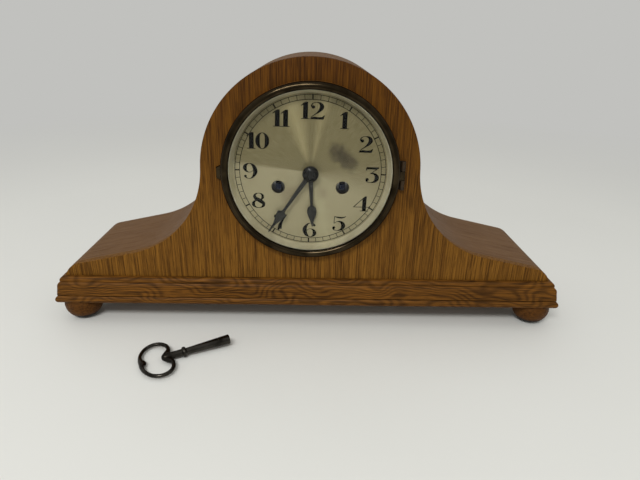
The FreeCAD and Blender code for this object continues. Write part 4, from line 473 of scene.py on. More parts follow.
# Movement: wheels, plates, springs and arbors keep their own solids and take a metal each.
# Brass is lightly tarnished and brushed; steel is ground bright, blued or left black from the fire.
def metal(name, colour, tarnish, rough, patch=60.0, brush=(900.0, 900.0, 60.0), metallic=1.0):
    """Worked metal with patches of tarnish and fine brush lines in its gloss."""
    material, tree, shader = new_material(name)
    place = node(tree, "TexCoord").outputs["Object"]
    patches = node(tree, "TexNoise", Vector=place, Scale=patch, Detail=5.0, Roughness=0.6).outputs["Fac"]
    lines_place = node(tree, "Mapping", Vector=place, Scale=brush).outputs[0]
    lines = node(tree, "TexNoise", Vector=lines_place, Scale=1.0, Detail=2.0).outputs["Fac"]
    share = stepped(tree, patches, 0.38, 0.68)
    join(tree, shader.inputs["Base Color"], mixed(tree, share, colour, tarnish))
    dull = stepped(tree, share, 0.0, 1.0, rough, rough + 0.18)
    join(tree, shader.inputs["Roughness"], calc(tree, "ADD", dull, calc(tree, "MULTIPLY", lines, 0.1)))
    bump = node(tree, "Bump", Height=lines, Strength=0.12, Distance=0.0001)
    join(tree, shader.inputs["Normal"], bump.outputs[0])
    shader.inputs["Metallic"].default_value = metallic
    return material


def dress(finish, *names):
    """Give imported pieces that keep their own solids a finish."""
    for name in names:
        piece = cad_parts[name]
        piece.data.materials.clear()
        piece.data.materials.append(finish)


movement_brass = metal("movement_brass", srgb(196, 158, 84), srgb(138, 104, 52), 0.28)
bright_steel = metal("bright_steel", srgb(168, 168, 166), srgb(120, 118, 114), 0.26)
arbor_blue = metal("arbor_blue", srgb(34, 40, 58), srgb(22, 24, 34), 0.3)
spring_blue = metal("spring_blue", srgb(58, 66, 88), srgb(42, 42, 52), 0.3)
gong_black = metal("gong_black", srgb(62, 58, 54), srgb(44, 38, 34), 0.42)
dress(
    movement_brass, "front_plate", "back_plate", "plate_pillars", "going_barrel", "strike_barrel",
    "second_wheel", "centre_wheel", "third_wheel", "fourth_wheel", "escape_wheel", "minute_wheel",
    "hour_wheel", "pin_wheel", "strike_second_wheel", "locking_wheel", "warning_wheel", "fly",
    "pendulum_cock", "pendulum_bob", "rating_nut", "dial_pan", "back_hinges_panel", "back_hinges_door",
    "door_catch",
)
dress(
    bright_steel, "pillar_nuts", "movement_straps", "strap_screws", "pan_screws", "foot_screws",
    "cannon_pinion", "going_ratchet", "strike_ratchet", "going_click", "strike_click", "anchor",
    "pendulum_rod", "hammer",
)
dress(arbor_blue, "going_winding_arbor", "strike_winding_arbor")
dress(spring_blue, "going_mainspring", "strike_mainspring", "suspension_spring")
dress(gong_black, "gong_block", "gong_rods")


# Back of the case: a ply panel let in behind the top, with a hinged door behind the movement.
# Both are plain brown-stained ply and keep their own solids.
def back_grain(tree):
    return grain_place(tree, (0.0, math.radians(90), 0.0), (0.31, 0.0, 0.17))


ply_tones = (srgb(136, 98, 58), srgb(92, 60, 32), srgb(66, 42, 22))
dress(oak("back_ply", back_grain, ply_tones, 0.6, 0.2, pores=0.3), "back_panel", "back_door")


# Dial: a silvered brass plate, brushed outwards from its centre and aged to a pale yellow grey.
# It lies in the pan, with a hole for the hands and two holes for the key.
DIAL_FRONT = -44.45
DIAL_BACK = -43.65
DIAL_RADIUS = 67.45
WINDING_HOLES = [(-27.0, 126.9), (27.0, 126.9)]
WINDING_HOLE = 5.5
HAND_HOLE = 4.4
HOLE_EASE = 0.35

dial_silver, dial_tree, dial_shader = new_material("dial_silver")
dial_place = node(dial_tree, "TexCoord").outputs["Object"]
dial_shift = (0.0, 0.0, -DIAL_CENTRE[1] * MM)
dial_place = node(dial_tree, "Mapping", Vector=dial_place, Location=dial_shift).outputs[0]
dial_axes = node(dial_tree, "SeparateXYZ", Vector=dial_place)
dial_x, dial_z = dial_axes.outputs[0], dial_axes.outputs[2]
dial_turn = calc(dial_tree, "ARCTAN2", dial_x, dial_z)


def dial_gap(x, z):
    """Distance from a place on the dial, in metres."""
    gap_x = calc(dial_tree, "SUBTRACT", dial_x, x * MM)
    gap_z = calc(dial_tree, "SUBTRACT", dial_z, z * MM)
    square_x = calc(dial_tree, "MULTIPLY", gap_x, gap_x)
    square_z = calc(dial_tree, "MULTIPLY", gap_z, gap_z)
    return calc(dial_tree, "SQRT", calc(dial_tree, "ADD", square_x, square_z))


def dial_noise(place, scale, detail=5.0, rough=0.62):
    made = node(dial_tree, "TexNoise", Vector=place, Scale=scale, Detail=detail, Roughness=rough)
    return made.outputs["Fac"]


def dial_ray(tone, degrees, half_width, strength, colour):
    """Soft ray of painted light from the centre outwards, at an angle clockwise from twelve: painted
    highlight with a pale tone, painted shade with a dark one.
    """
    off = calc(dial_tree, "ABSOLUTE", calc(dial_tree, "SUBTRACT", dial_turn, math.radians(degrees)))
    across = stepped(dial_tree, off, 0.0, math.radians(half_width), 1.0, 0.0)
    outwards = stepped(dial_tree, dial_reach, 0.004, 0.02, 0.0, strength)
    return mixed(dial_tree, calc(dial_tree, "MULTIPLY", across, outwards), tone, colour)


def dial_smudge(tone, x, z, size, strength, colour):
    """Mottled cloud of tarnish at a place on the dial."""
    edge = calc(dial_tree, "SUBTRACT", dial_noise(dial_place, 130.0), 0.5)
    gap = calc(dial_tree, "ADD", dial_gap(x, z), calc(dial_tree, "MULTIPLY", edge, 1.5 * size * MM))
    share = stepped(dial_tree, gap, 0.35 * size * MM, 1.05 * size * MM, strength, 0.0)
    speckle = stepped(dial_tree, dial_noise(dial_place, 420.0), 0.35, 0.62, 0.6, 1.0)
    return mixed(dial_tree, calc(dial_tree, "MULTIPLY", share, speckle), tone, colour)


dial_reach = dial_gap(0.0, 0.0)
ray_turn = calc(dial_tree, "MULTIPLY", dial_turn, 26.0)
ray_reach = calc(dial_tree, "MULTIPLY", dial_reach, 20.0)
ray_place = node(dial_tree, "CombineXYZ", X=ray_turn, Y=ray_reach).outputs[0]
rays = dial_noise(ray_place, 6.0, 4.0, 0.7)
patina = dial_noise(dial_place, 28.0)
# Painted reflection: the lower half of the dial is lighter, as the brushed face mirrors the pale table below
# it; the upper half is the shaded copy.
painted_reflection_right = stepped(dial_tree, dial_turn, math.radians(80), math.radians(118))
left_turn = calc(dial_tree, "MULTIPLY", dial_turn, -1.0)
painted_reflection_left = stepped(dial_tree, left_turn, math.radians(81), math.radians(86))
painted_reflection_half = calc(dial_tree, "MAXIMUM", painted_reflection_right, painted_reflection_left)
dial_tone = mixed(dial_tree, painted_reflection_half, srgb(113, 102, 66), srgb(160, 150, 118))
PAINTED_SHADE_RAY = srgb(112, 101, 66)
PAINTED_HIGHLIGHT_RAY = srgb(190, 176, 130)
PAINTED_LOW_HIGHLIGHT = srgb(192, 184, 148)
# Painted highlights in rays near twelve and six, and painted shade in a sector at the upper left, where the
# brushed face catches and misses the light.
for ray in (
    (-52.0, 30.0, 0.35, PAINTED_SHADE_RAY), (-16.0, 14.0, 0.5, PAINTED_HIGHLIGHT_RAY), (10.5, 7.0, 0.4, PAINTED_HIGHLIGHT_RAY),
    (166.0, 16.0, 0.5, PAINTED_LOW_HIGHLIGHT),
):
    dial_tone = dial_ray(dial_tone, *ray)
dial_tone = mixed(dial_tree, stepped(dial_tree, patina, 0.45, 0.75, 0.0, 0.4), dial_tone, srgb(120, 109, 74))
dial_tone = mixed(dial_tree, stepped(dial_tree, rays, 0.42, 0.7, 0.0, 0.3), dial_tone, srgb(196, 188, 150))
BLOTCH = srgb(62, 53, 35)
FAINT_BLOTCH = srgb(116, 100, 78)
for smudge in (
    (21.5, 17.5, 9.5, 0.9, BLOTCH), (32.0, 8.5, 8.5, 0.85, BLOTCH), (26.5, 14.0, 8.0, 0.75, BLOTCH),
    (-17.0, -20.0, 11.0, 0.4, FAINT_BLOTCH), (9.0, -18.0, 6.5, 0.3, FAINT_BLOTCH),
):
    dial_tone = dial_smudge(dial_tone, *smudge)
join(dial_tree, dial_shader.inputs["Base Color"], dial_tone)
join(dial_tree, dial_shader.inputs["Roughness"], stepped(dial_tree, rays, 0.3, 0.7, 0.5, 0.38))
dial_shader.inputs["Metallic"].default_value = 0.3

dial = bmesh.new()
dial_holes = [(DIAL_CENTRE, HAND_HOLE)] + [(hole, WINDING_HOLE) for hole in WINDING_HOLES]
dial_edge = arc(DIAL_CENTRE, DIAL_RADIUS, 0, 360, 128)[:-1]
dial_front = [row(dial, dial_edge, DIAL_FRONT)]
dial_back = [row(dial, dial_edge, DIAL_BACK)]
bridge(dial, dial_front[0], dial_back[0])
for centre, radius in dial_holes:
    circles = []
    for extra, depth in ((HOLE_EASE, DIAL_FRONT), (0.0, DIAL_FRONT + HOLE_EASE), (0.0, DIAL_BACK)):
        circles.append(row(dial, arc(centre, radius + extra, 0, 360, 48)[:-1], depth))
    bridge(dial, circles[0], circles[1])
    bridge(dial, circles[1], circles[2])
    dial_front.append(circles[0])
    dial_back.append(circles[2])
fill(dial, *dial_front)
fill(dial, *dial_back)
add_piece("silvered_dial", dial, dial_silver, "root", "dial_silver", "dial_plate")


# Printing on the dial: black enamel minute track, five-minute bars and upright numbers.
# It is a thin raised film, drawn as flat shapes that sit in the face of the dial.
PRINT_PROUD = 0.05
PRINT_SUNK = 0.02
PRINT_FRONT = DIAL_FRONT - PRINT_PROUD
PRINT_BACK = DIAL_FRONT + PRINT_SUNK
PRINT_DEPTH = PRINT_BACK - PRINT_FRONT
TRACK_OUTER = 62.6
TRACK_INNER = 58.75
LINE_HALF = 0.26
NUMBER_HEIGHT = 13.4
NUMBER_WIDEN = 1.1
NUMBER_REACH = 50.7
NUMBER_CENTRE = (0.7, 139.4)
HAIRLINE = 0.014
PRINT_TURN = math.radians(1.1)

dial_ink, ink_tree, ink_shader = new_material("dial_ink")
ink_place = node(ink_tree, "TexCoord").outputs["Object"]
ink_wear = node(ink_tree, "TexNoise", Vector=ink_place, Scale=400.0, Detail=4.0).outputs["Fac"]
ink_colour = mixed(ink_tree, stepped(ink_tree, ink_wear, 0.5, 0.8), srgb(5, 5, 4), srgb(24, 21, 16))
join(ink_tree, ink_shader.inputs["Base Color"], ink_colour)
join(ink_tree, ink_shader.inputs["Roughness"], stepped(ink_tree, ink_wear, 0.3, 0.7, 0.45, 0.6))
ink_shader.inputs["Specular IOR Level"].default_value = 0.05


def on_dial(radius, level, angle):
    return (DIAL_CENTRE[0] + radius * math.sin(angle), level, DIAL_CENTRE[1] + radius * math.cos(angle))


track = bmesh.new()
for radius in (TRACK_INNER, TRACK_OUTER):
    rim = (radius - LINE_HALF, radius + LINE_HALF)
    line_section = [(rim[0], PRINT_FRONT), (rim[1], PRINT_FRONT), (rim[1], PRINT_BACK), (rim[0], PRINT_BACK)]
    turned(track, line_section, on_dial, 180)
add_piece("dial_track_lines", track, dial_ink, "root", "dial_silver")


def tick_tree():
    """Bars set radially round a circle, as many as asked for."""
    tree = bpy.data.node_groups.new("dial_ticks", "GeometryNodeTree")
    sockets = {}
    inputs = (
        ("Count", "Int"), ("Reach", "Float"), ("Bar", "Vector"), ("Centre", "Vector"), ("Ink", "Material"),
    )
    for name, kind in inputs:
        socket = tree.interface.new_socket(name, in_out="INPUT", socket_type="NodeSocket" + kind)
        sockets[name] = socket.identifier
    tree.interface.new_socket("Geometry", in_out="OUTPUT", socket_type="NodeSocketGeometry")
    given = tree.nodes.new("NodeGroupInput")
    circle = tree.nodes.new("GeometryNodeMeshCircle")
    bar = tree.nodes.new("GeometryNodeMeshCube")
    place = tree.nodes.new("GeometryNodeInputPosition")
    aim = tree.nodes.new("FunctionNodeAlignRotationToVector")
    aim.axis = "X"
    spread = tree.nodes.new("GeometryNodeInstanceOnPoints")
    real = tree.nodes.new("GeometryNodeRealizeInstances")
    stand = tree.nodes.new("GeometryNodeTransform")
    stand.inputs["Rotation"].default_value = (math.radians(90), PRINT_TURN, 0.0)
    ink = tree.nodes.new("GeometryNodeSetMaterial")
    result = tree.nodes.new("NodeGroupOutput")
    for source, target in (
        (given.outputs["Count"], circle.inputs["Vertices"]),
        (given.outputs["Reach"], circle.inputs["Radius"]),
        (given.outputs["Bar"], bar.inputs["Size"]),
        (place.outputs[0], aim.inputs["Vector"]),
        (circle.outputs[0], spread.inputs["Points"]),
        (bar.outputs[0], spread.inputs["Instance"]),
        (aim.outputs[0], spread.inputs["Rotation"]),
        (spread.outputs[0], real.inputs[0]),
        (real.outputs[0], stand.inputs["Geometry"]),
        (given.outputs["Centre"], stand.inputs["Translation"]),
        (stand.outputs[0], ink.inputs["Geometry"]),
        (given.outputs["Ink"], ink.inputs["Material"]),
        (ink.outputs[0], result.inputs[0]),
    ):
        tree.links.new(source, target)
    return tree, sockets


def plain_mesh(carrier, name):
    """Carrier's evaluated shape as a plain mesh, with its modifiers removed."""
    bpy.context.view_layer.update()
    shape = carrier.evaluated_get(bpy.context.evaluated_depsgraph_get())
    mesh = bpy.data.meshes.new_from_object(shape)
    carrier.modifiers.clear()
    carrier.data = mesh
    mesh.name = name


ticks, tick_sockets = tick_tree()
tick_long = TRACK_OUTER - TRACK_INNER
print_middle = (PRINT_FRONT + PRINT_BACK) / 2
for name, count, width in (("minute_ticks", 60, 0.45), ("five_minute_bars", 12, 1.1)):
    carrier = bpy.data.objects.new(name, bpy.data.meshes.new(name))
    bpy.context.scene.collection.objects.link(carrier)
    modifier = carrier.modifiers.new("ticks", "NODES")
    modifier.node_group = ticks
    modifier[tick_sockets["Count"]] = count
    modifier[tick_sockets["Reach"]] = (TRACK_OUTER + TRACK_INNER) / 2 * MM
    modifier[tick_sockets["Bar"]] = (tick_long * MM, width * MM, PRINT_DEPTH * MM)
    modifier[tick_sockets["Centre"]] = (DIAL_CENTRE[0] * MM, print_middle * MM, DIAL_CENTRE[1] * MM)
    modifier[tick_sockets["Ink"]] = dial_ink
    plain_mesh(carrier, name)
    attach(carrier, "root")


def smooth_path(points, steps=6):
    """Points of a smooth curve through stations of any number of values."""
    def between(t, p, q, r, s):
        bend = 2 * p - 5 * q + 4 * r - s
        twist = 3 * q - p - 3 * r + s
        return 0.5 * (2 * q + (r - p) * t + bend * t * t + twist * t ** 3)

    path = []
    ends = [points[0]] + list(points) + [points[-1]]
    for stations in zip(ends, ends[1:], ends[2:], ends[3:]):
        for k in range(steps):
            path.append(tuple(between(k / steps, *values) for values in zip(*stations)))
    return path + [points[-1]]


def stroke(*points):
    """Quads of a pen stroke through (x, z, half width) stations."""
    path = smooth_path(points)
    sides = []
    for k, (x, z, half) in enumerate(path):
        before, after = path[max(k - 1, 0)], path[min(k + 1, len(path) - 1)]
        dx, dz = after[0] - before[0], after[1] - before[1]
        length = math.hypot(dx, dz) or 1.0
        reach = max(half, HAIRLINE)
        side_x = -dz / length * reach
        side_z = dx / length * reach
        sides.append(((x + side_x, z + side_z), (x - side_x, z - side_z)))
    return [[a[0], b[0], b[1], a[1]] for a, b in zip(sides, sides[1:])]


def ball(x, z, radius):
    """Round end of a pen stroke."""
    return [arc((x, z), radius, 0, 360, 20)[:-1]]


def loop(x, z, half_width, half_height, thick, thin):
    """Oval stroke, thick at its sides and thin at its top and foot."""
    stations = []
    for k in range(25):
        angle = math.tau * k / 24
        half = thin + (thick - thin) * math.cos(angle) ** 2
        stations.append((x + half_width * math.cos(angle), z + half_height * math.sin(angle), half))
    return stroke(*stations)


def half_turn(shapes, width):
    """Flat shapes of a digit turned upside down."""
    return [[(width - x, 1 - z) for x, z in shape] for shape in shapes]


# Each digit has its width and its flat shapes, in shares of its height.
SIX = stroke(
    (0.72, 0.84, 0.05), (0.65, 0.93, 0.03), (0.50, 0.98, 0.016), (0.30, 0.89, 0.05), (0.14, 0.55, 0.12),
    (0.24, 0.18, 0.09), (0.46, 0.02, 0.018), (0.66, 0.12, 0.07), (0.73, 0.30, 0.11), (0.65, 0.50, 0.06),
    (0.49, 0.58, 0.018), (0.34, 0.53, 0.016), (0.25, 0.42, 0.016),
) + ball(0.70, 0.83, 0.075)
EIGHT = loop(0.43, 0.76, 0.24, 0.22, 0.075, 0.018) + loop(0.43, 0.27, 0.30, 0.25, 0.09, 0.018) + stroke(
    (0.20, 0.80, 0.05), (0.26, 0.64, 0.11), (0.43, 0.53, 0.12), (0.60, 0.42, 0.12), (0.70, 0.27, 0.06),
)
DIGITS = {
    "0": (0.76, loop(0.38, 0.5, 0.26, 0.48, 0.125, 0.018)),
    "1": (0.45, [
        [(0.1, 0.02), (0.36, 0.02), (0.36, 1.0), (0.22, 1.0), (0.1, 0.92)],
        [(0.0, 0.0), (0.46, 0.0), (0.46, 0.04), (0.0, 0.04)],
        [(-0.04, 0.78), (-0.02, 0.75), (0.1, 0.82), (0.1, 0.92)],
    ]),
    "2": (0.86, stroke(
        (0.20, 0.66, 0.05), (0.10, 0.78, 0.04), (0.18, 0.93, 0.024), (0.38, 0.98, 0.018), (0.57, 0.92, 0.07),
        (0.66, 0.74, 0.12), (0.57, 0.54, 0.085), (0.38, 0.35, 0.035), (0.16, 0.18, 0.02), (0.06, 0.05, 0.02),
    ) + ball(0.20, 0.71, 0.095) + [
        [(0.03, 0.0), (0.76, 0.0), (0.71, 0.15), (0.45, 0.13), (0.25, 0.16), (0.10, 0.10)],
        [(0.71, 0.0), (0.76, 0.0), (0.84, 0.25), (0.80, 0.25), (0.68, 0.15)],
    ]),
    "3": (0.86, stroke(
        (0.30, 0.60, 0.016), (0.50, 0.60, 0.05), (0.66, 0.47, 0.10), (0.70, 0.29, 0.12), (0.60, 0.10, 0.075),
        (0.36, 0.02, 0.018), (0.16, 0.07, 0.03), (0.11, 0.18, 0.05),
    ) + ball(0.16, 0.21, 0.095) + [
        [(0.08, 1.0), (0.80, 1.0), (0.80, 0.96), (0.62, 0.86), (0.13, 0.86), (0.09, 0.77), (0.05, 0.77)],
        [(0.75, 0.97), (0.80, 0.96), (0.36, 0.59), (0.30, 0.59)],
    ]),
    "4": (1.0, [
        [(0.52, 0.02), (0.75, 0.02), (0.75, 1.0), (0.67, 1.0), (0.52, 0.80)],
        [(0.40, 0.0), (0.88, 0.0), (0.88, 0.04), (0.40, 0.04)],
        [(0.0, 0.26), (0.96, 0.26), (0.96, 0.30), (0.0, 0.30)],
        [(0.94, 0.26), (0.98, 0.36), (0.95, 0.37), (0.88, 0.30)],
        [(0.0, 0.29), (0.06, 0.29), (0.71, 1.0), (0.65, 1.0)],
    ]),
    "5": (0.90, stroke(
        (0.16, 0.50, 0.016), (0.34, 0.63, 0.02), (0.58, 0.59, 0.08), (0.70, 0.36, 0.12), (0.60, 0.11, 0.075),
        (0.36, 0.02, 0.018), (0.16, 0.07, 0.03), (0.10, 0.19, 0.05),
    ) + ball(0.15, 0.21, 0.09) + stroke(
        (0.17, 0.97, 0.016), (0.36, 0.92, 0.045), (0.58, 0.90, 0.05), (0.75, 0.95, 0.03), (0.84, 1.0, 0.014),
    ) + [[(0.15, 0.98), (0.19, 0.98), (0.17, 0.52), (0.13, 0.50)]]),
    "6": (0.86, SIX),
    "7": (0.84, stroke(
        (0.76, 0.93, 0.02), (0.56, 0.62, 0.05), (0.42, 0.32, 0.10), (0.38, 0.04, 0.12), (0.38, 0.0, 0.12),
    ) + stroke(
        (0.06, 0.78, 0.02), (0.12, 0.92, 0.05), (0.33, 0.93, 0.065), (0.56, 0.88, 0.06), (0.76, 0.95, 0.03),
        (0.80, 1.0, 0.014),
    )),
    "8": (0.86, EIGHT),
    "9": (0.86, half_turn(SIX, 0.86)),
}


def covers(shape, point):
    """Whether a flat shape has a point inside it."""
    inside_shape = False
    for a, b in zip(shape, shape[1:] + shape[:1]):
        if (a.y > point.y) != (b.y > point.y) and point.x < a.x + (b.x - a.x) * (point.y - a.y) / (b.y - a.y):
            inside_shape = not inside_shape
    return inside_shape


def number_mesh(text, x, z):
    """Thin solid of a number, from the union of the flat shapes of its digits."""
    start = -sum(DIGITS[digit][0] for digit in text) / 2
    outlines = []
    for digit in text:
        advance, shapes = DIGITS[digit]
        for shape in shapes:
            outlines.append([
                Vector(((start + px) * NUMBER_WIDEN, pz - 0.5)) * NUMBER_HEIGHT for px, pz in shape
            ])
        start += advance
    corners = [corner for outline in outlines for corner in outline]
    edges = []
    for outline in outlines:
        first = edges[-1][0] + 1 if edges else 0
        edges += [(first + k, first + (k + 1) % len(outline)) for k in range(len(outline))]
    flat = delaunay_2d_cdt(corners, edges, [], 0, MERGE_GAP)
    made = bmesh.new()
    verts = [made.verts.new((x + place.x, PRINT_FRONT, z + place.y)) for place in flat[0]]
    for face in flat[2]:
        middle = sum((flat[0][k] for k in face), Vector((0.0, 0.0))) / len(face)
        if any(covers(outline, middle) for outline in outlines):
            made.faces.new([verts[k] for k in face])
    bmesh.ops.delete(made, geom=[vert for vert in made.verts if not vert.link_faces], context="VERTS")
    raised = bmesh.ops.extrude_face_region(made, geom=list(made.faces))
    moved = [part for part in raised["geom"] if isinstance(part, bmesh.types.BMVert)]
    bmesh.ops.translate(made, verts=moved, vec=(0.0, PRINT_DEPTH, 0.0))
    middle = (DIAL_CENTRE[0], 0.0, DIAL_CENTRE[1])
    bmesh.ops.rotate(made, verts=made.verts, cent=middle, matrix=Matrix.Rotation(PRINT_TURN, 3, "Y"))
    return made


for hour in range(1, 13):
    turn = math.radians(30 * hour)
    number_x = NUMBER_CENTRE[0] + NUMBER_REACH * math.sin(turn)
    number_z = NUMBER_CENTRE[1] + NUMBER_REACH * math.cos(turn)
    number = number_mesh(str(hour), number_x, number_z)
    add_piece(f"number_{hour}", number, dial_ink, "root", "dial_silver")


# Sight ring: a thin silvered cone between the dial and the glass, which hides the edge of the pan.
# It is spun from sheet, brighter than the dial, and left plain.
SIGHT_INNER = 64.0
SIGHT_OUTER = 66.4
SIGHT_WALL = 0.6
SIGHT_FRONT = -52.15

ring_silver = metal(
    "ring_silver", srgb(230, 223, 196), srgb(200, 190, 158), 0.28, 40.0, (60.0, 60.0, 60.0), metallic=0.4
)
sight = bmesh.new()
sight_section = [
    (SIGHT_INNER, DIAL_FRONT), (SIGHT_INNER + SIGHT_WALL, DIAL_FRONT),
    (SIGHT_OUTER + SIGHT_WALL, SIGHT_FRONT), (SIGHT_OUTER, SIGHT_FRONT),
]
turned(sight, sight_section, on_dial, 128)
add_piece("sight_cone", sight, ring_silver, "root", "dial_silver", "sight_ring")


# Bezel: a rolled brass ring, bronzed dark, that carries the glass and swings on a hinge at its right.
# A small tab at its left opens it; the leaf of the hinge is fixed to the board beside the ring.
BEZEL_EDGE_RADIUS = 73.3
BEZEL_BACK = -49.85
BEZEL_SIDE = -51.25
BEZEL_BACK_ROUND = (72.662, -54.686)
BEZEL_CREST = (70.4, -56.05)
BEZEL_FRONT_ROUND = (68.19, -55.97)
BEZEL_LIP = (67.0, -54.65)
BEZEL_SEAT = -54.25
BEZEL_REBATE = 68.2
HINGE_PLACE = (75.7, -50.55)
HINGE_RADIUS = 2.0
HINGE_BORE = 0.8
HINGE_HALF = 3.7
HINGE_EASE = 0.2
LUG_ROOT = 69.6
LUG_SHORT = 0.9
LUG_BEHIND = 0.4
TAB_REACH = 4.0
TAB_THICK = 1.2
TAB_ROOT = 2.0
TAB_ROOT_HALF = 7.5
TAB_TIP_HALF = 4.6
TAB_EASE = 0.5

bezel_bronze = metal("bezel_bronze", srgb(58, 49, 35), srgb(28, 22, 13), 0.04, 55.0, (80.0, 80.0, 80.0))
bezel = bmesh.new()
bezel_section = [
    BEZEL_LIP, (BEZEL_LIP[0], BEZEL_SEAT), (BEZEL_REBATE, BEZEL_SEAT), (BEZEL_REBATE, BEZEL_BACK),
    (BEZEL_EDGE_RADIUS, BEZEL_BACK),
]
bezel_section += through((BEZEL_EDGE_RADIUS, BEZEL_SIDE), BEZEL_BACK_ROUND, BEZEL_CREST, 14)
bezel_section += through(BEZEL_CREST, BEZEL_FRONT_ROUND, BEZEL_LIP, 8)[1:-1]
turned(bezel, bezel_section, on_dial, 160)


def on_hinge(radius, level, angle):
    return (HINGE_PLACE[0] + radius * math.cos(angle), HINGE_PLACE[1] + radius * math.sin(angle), level)


def block(mesh, back_corners, front_corners):
    """Solid between two loops of as many corners."""
    rows = [[mesh.verts.new(corner) for corner in corners] for corners in (back_corners, front_corners)]
    bridge(mesh, *rows)
    mesh.faces.new(rows[0])
    mesh.faces.new(rows[1])


def plate_outline(y, root, tip, root_half, tip_half):
    """Corners of a plate beside the ring at a depth, from its root to its tip."""
    middle = DIAL_CENTRE[1]
    return [
        (root, y, middle - root_half), (tip, y, middle - tip_half), (tip, y, middle + tip_half),
        (root, y, middle + root_half),
    ]


knuckle_low = DIAL_CENTRE[1] - HINGE_HALF
knuckle_high = DIAL_CENTRE[1] + HINGE_HALF
knuckle_end = HINGE_RADIUS - HINGE_EASE
knuckle_section = [
    (HINGE_BORE, knuckle_low), (knuckle_end, knuckle_low), (HINGE_RADIUS, knuckle_low + HINGE_EASE),
    (HINGE_RADIUS, knuckle_high - HINGE_EASE), (knuckle_end, knuckle_high), (HINGE_BORE, knuckle_high),
]
turned(bezel, knuckle_section, on_hinge, 32)
lug_sides = (LUG_ROOT, HINGE_PLACE[0] - LUG_SHORT, HINGE_HALF, HINGE_HALF)
lug_depths = (HINGE_PLACE[1] + LUG_BEHIND, HINGE_PLACE[1] - HINGE_RADIUS)
block(bezel, *[plate_outline(y, *lug_sides) for y in lug_depths])
tab_root = TAB_ROOT - BEZEL_EDGE_RADIUS
tab_tip = -BEZEL_EDGE_RADIUS - TAB_REACH
tab_back = plate_outline(BEZEL_BACK, tab_root, tab_tip, TAB_ROOT_HALF, TAB_TIP_HALF)
tab_front = plate_outline(
    BEZEL_BACK - TAB_THICK, tab_root, tab_tip + TAB_EASE, TAB_ROOT_HALF - TAB_EASE, TAB_TIP_HALF - TAB_EASE
)
block(bezel, tab_back, tab_front)
add_piece("bezel_rolled_ring", bezel, bezel_bronze, "bezel", "bezel_metal", "bezel_ring")
hinge_bronze = metal("hinge_bronze", srgb(58, 42, 22), srgb(38, 27, 14), 0.4, 90.0, metallic=0.5)
dress(hinge_bronze, "bezel_hinge_leaf", "bezel_hinge_pin")


# Glass: a domed disc of clear glass with a flat rim, seated in the bezel.
# It is thin, so what lies behind it is hardly displaced.
GLASS_RADIUS = 68.1
GLASS_DOME = 66.5
GLASS_RISE = 6.0
GLASS_RIM_FRONT = -54.25
GLASS_RIM_BACK = -52.45

glass_clear, glass_tree, glass_shader = new_material("glass_clear")
glass_tree.nodes.remove(glass_shader)
see_through = node(glass_tree, "BsdfTransparent", Color=(0.985, 0.99, 0.985, 1.0))
shine = node(glass_tree, "BsdfGlossy", Color=(1.0, 1.0, 1.0, 1.0), Roughness=0.01)
edge_on = node(glass_tree, "Fresnel", IOR=1.19)
glass_mix = node(glass_tree, "MixShader", Fac=edge_on.outputs[0])
glass_tree.links.new(see_through.outputs[0], glass_mix.inputs[1])
glass_tree.links.new(shine.outputs[0], glass_mix.inputs[2])
glass_tree.links.new(glass_mix.outputs[0], glass_tree.nodes["Material Output"].inputs["Surface"])

glass_ball = (GLASS_DOME ** 2 + GLASS_RISE ** 2) / (2 * GLASS_RISE)


def dome(rim_level):
    """Dome from its middle out to the flat rim, as (radius, level) points."""
    steps = 24
    reaches = [GLASS_DOME * k / steps for k in range(steps + 1)]
    return [(r, rim_level - GLASS_RISE + glass_ball - math.sqrt(glass_ball ** 2 - r ** 2)) for r in reaches]


glass = bmesh.new()
glass_section = dome(GLASS_RIM_FRONT) + [(GLASS_RADIUS, GLASS_RIM_FRONT), (GLASS_RADIUS, GLASS_RIM_BACK)]
glass_section += list(reversed(dome(GLASS_RIM_BACK)))
turned(glass, glass_section, on_dial, 128)
add_piece("domed_glass", glass, glass_clear, "bezel", "glass", "bezel_glass")


# Hands: blued steel spade hands filed to a low ridge, the minute hand over the hour hand.
# Each is pressed on its pipe or arbor by a round boss.
HAND_SHEET = 0.8
HAND_BEVEL = 0.35
HAND_RIDGE = 0.15
HAND_ROOT = 2.1
HAND_BEVEL_SHARE = 0.6
BOSS_EASE = 0.3
BOSS_LAP = 1.0
ARBOR_BORE = 1.5
PIPE_BORE = 3.4
HOUR_SPADE = [
    (1.05, 0.62), (1.5, 0.642), (2.6, 0.656), (3.6, 0.685), (4.05, 0.735), (3.95, 0.775), (3.15, 0.845),
    (2.2, 0.90), (1.4, 0.95), (0.8, 1.0), (0.4, 1.05),
]
MINUTE_SPADE = [
    (1.1, 0.65), (1.5, 0.672), (2.4, 0.684), (3.7, 0.692), (4.2, 0.702), (4.15, 0.722), (3.75, 0.755),
    (3.0, 0.80), (2.0, 0.85), (1.3, 0.89), (1.0, 0.93), (0.75, 1.0), (0.4, 1.05),
]


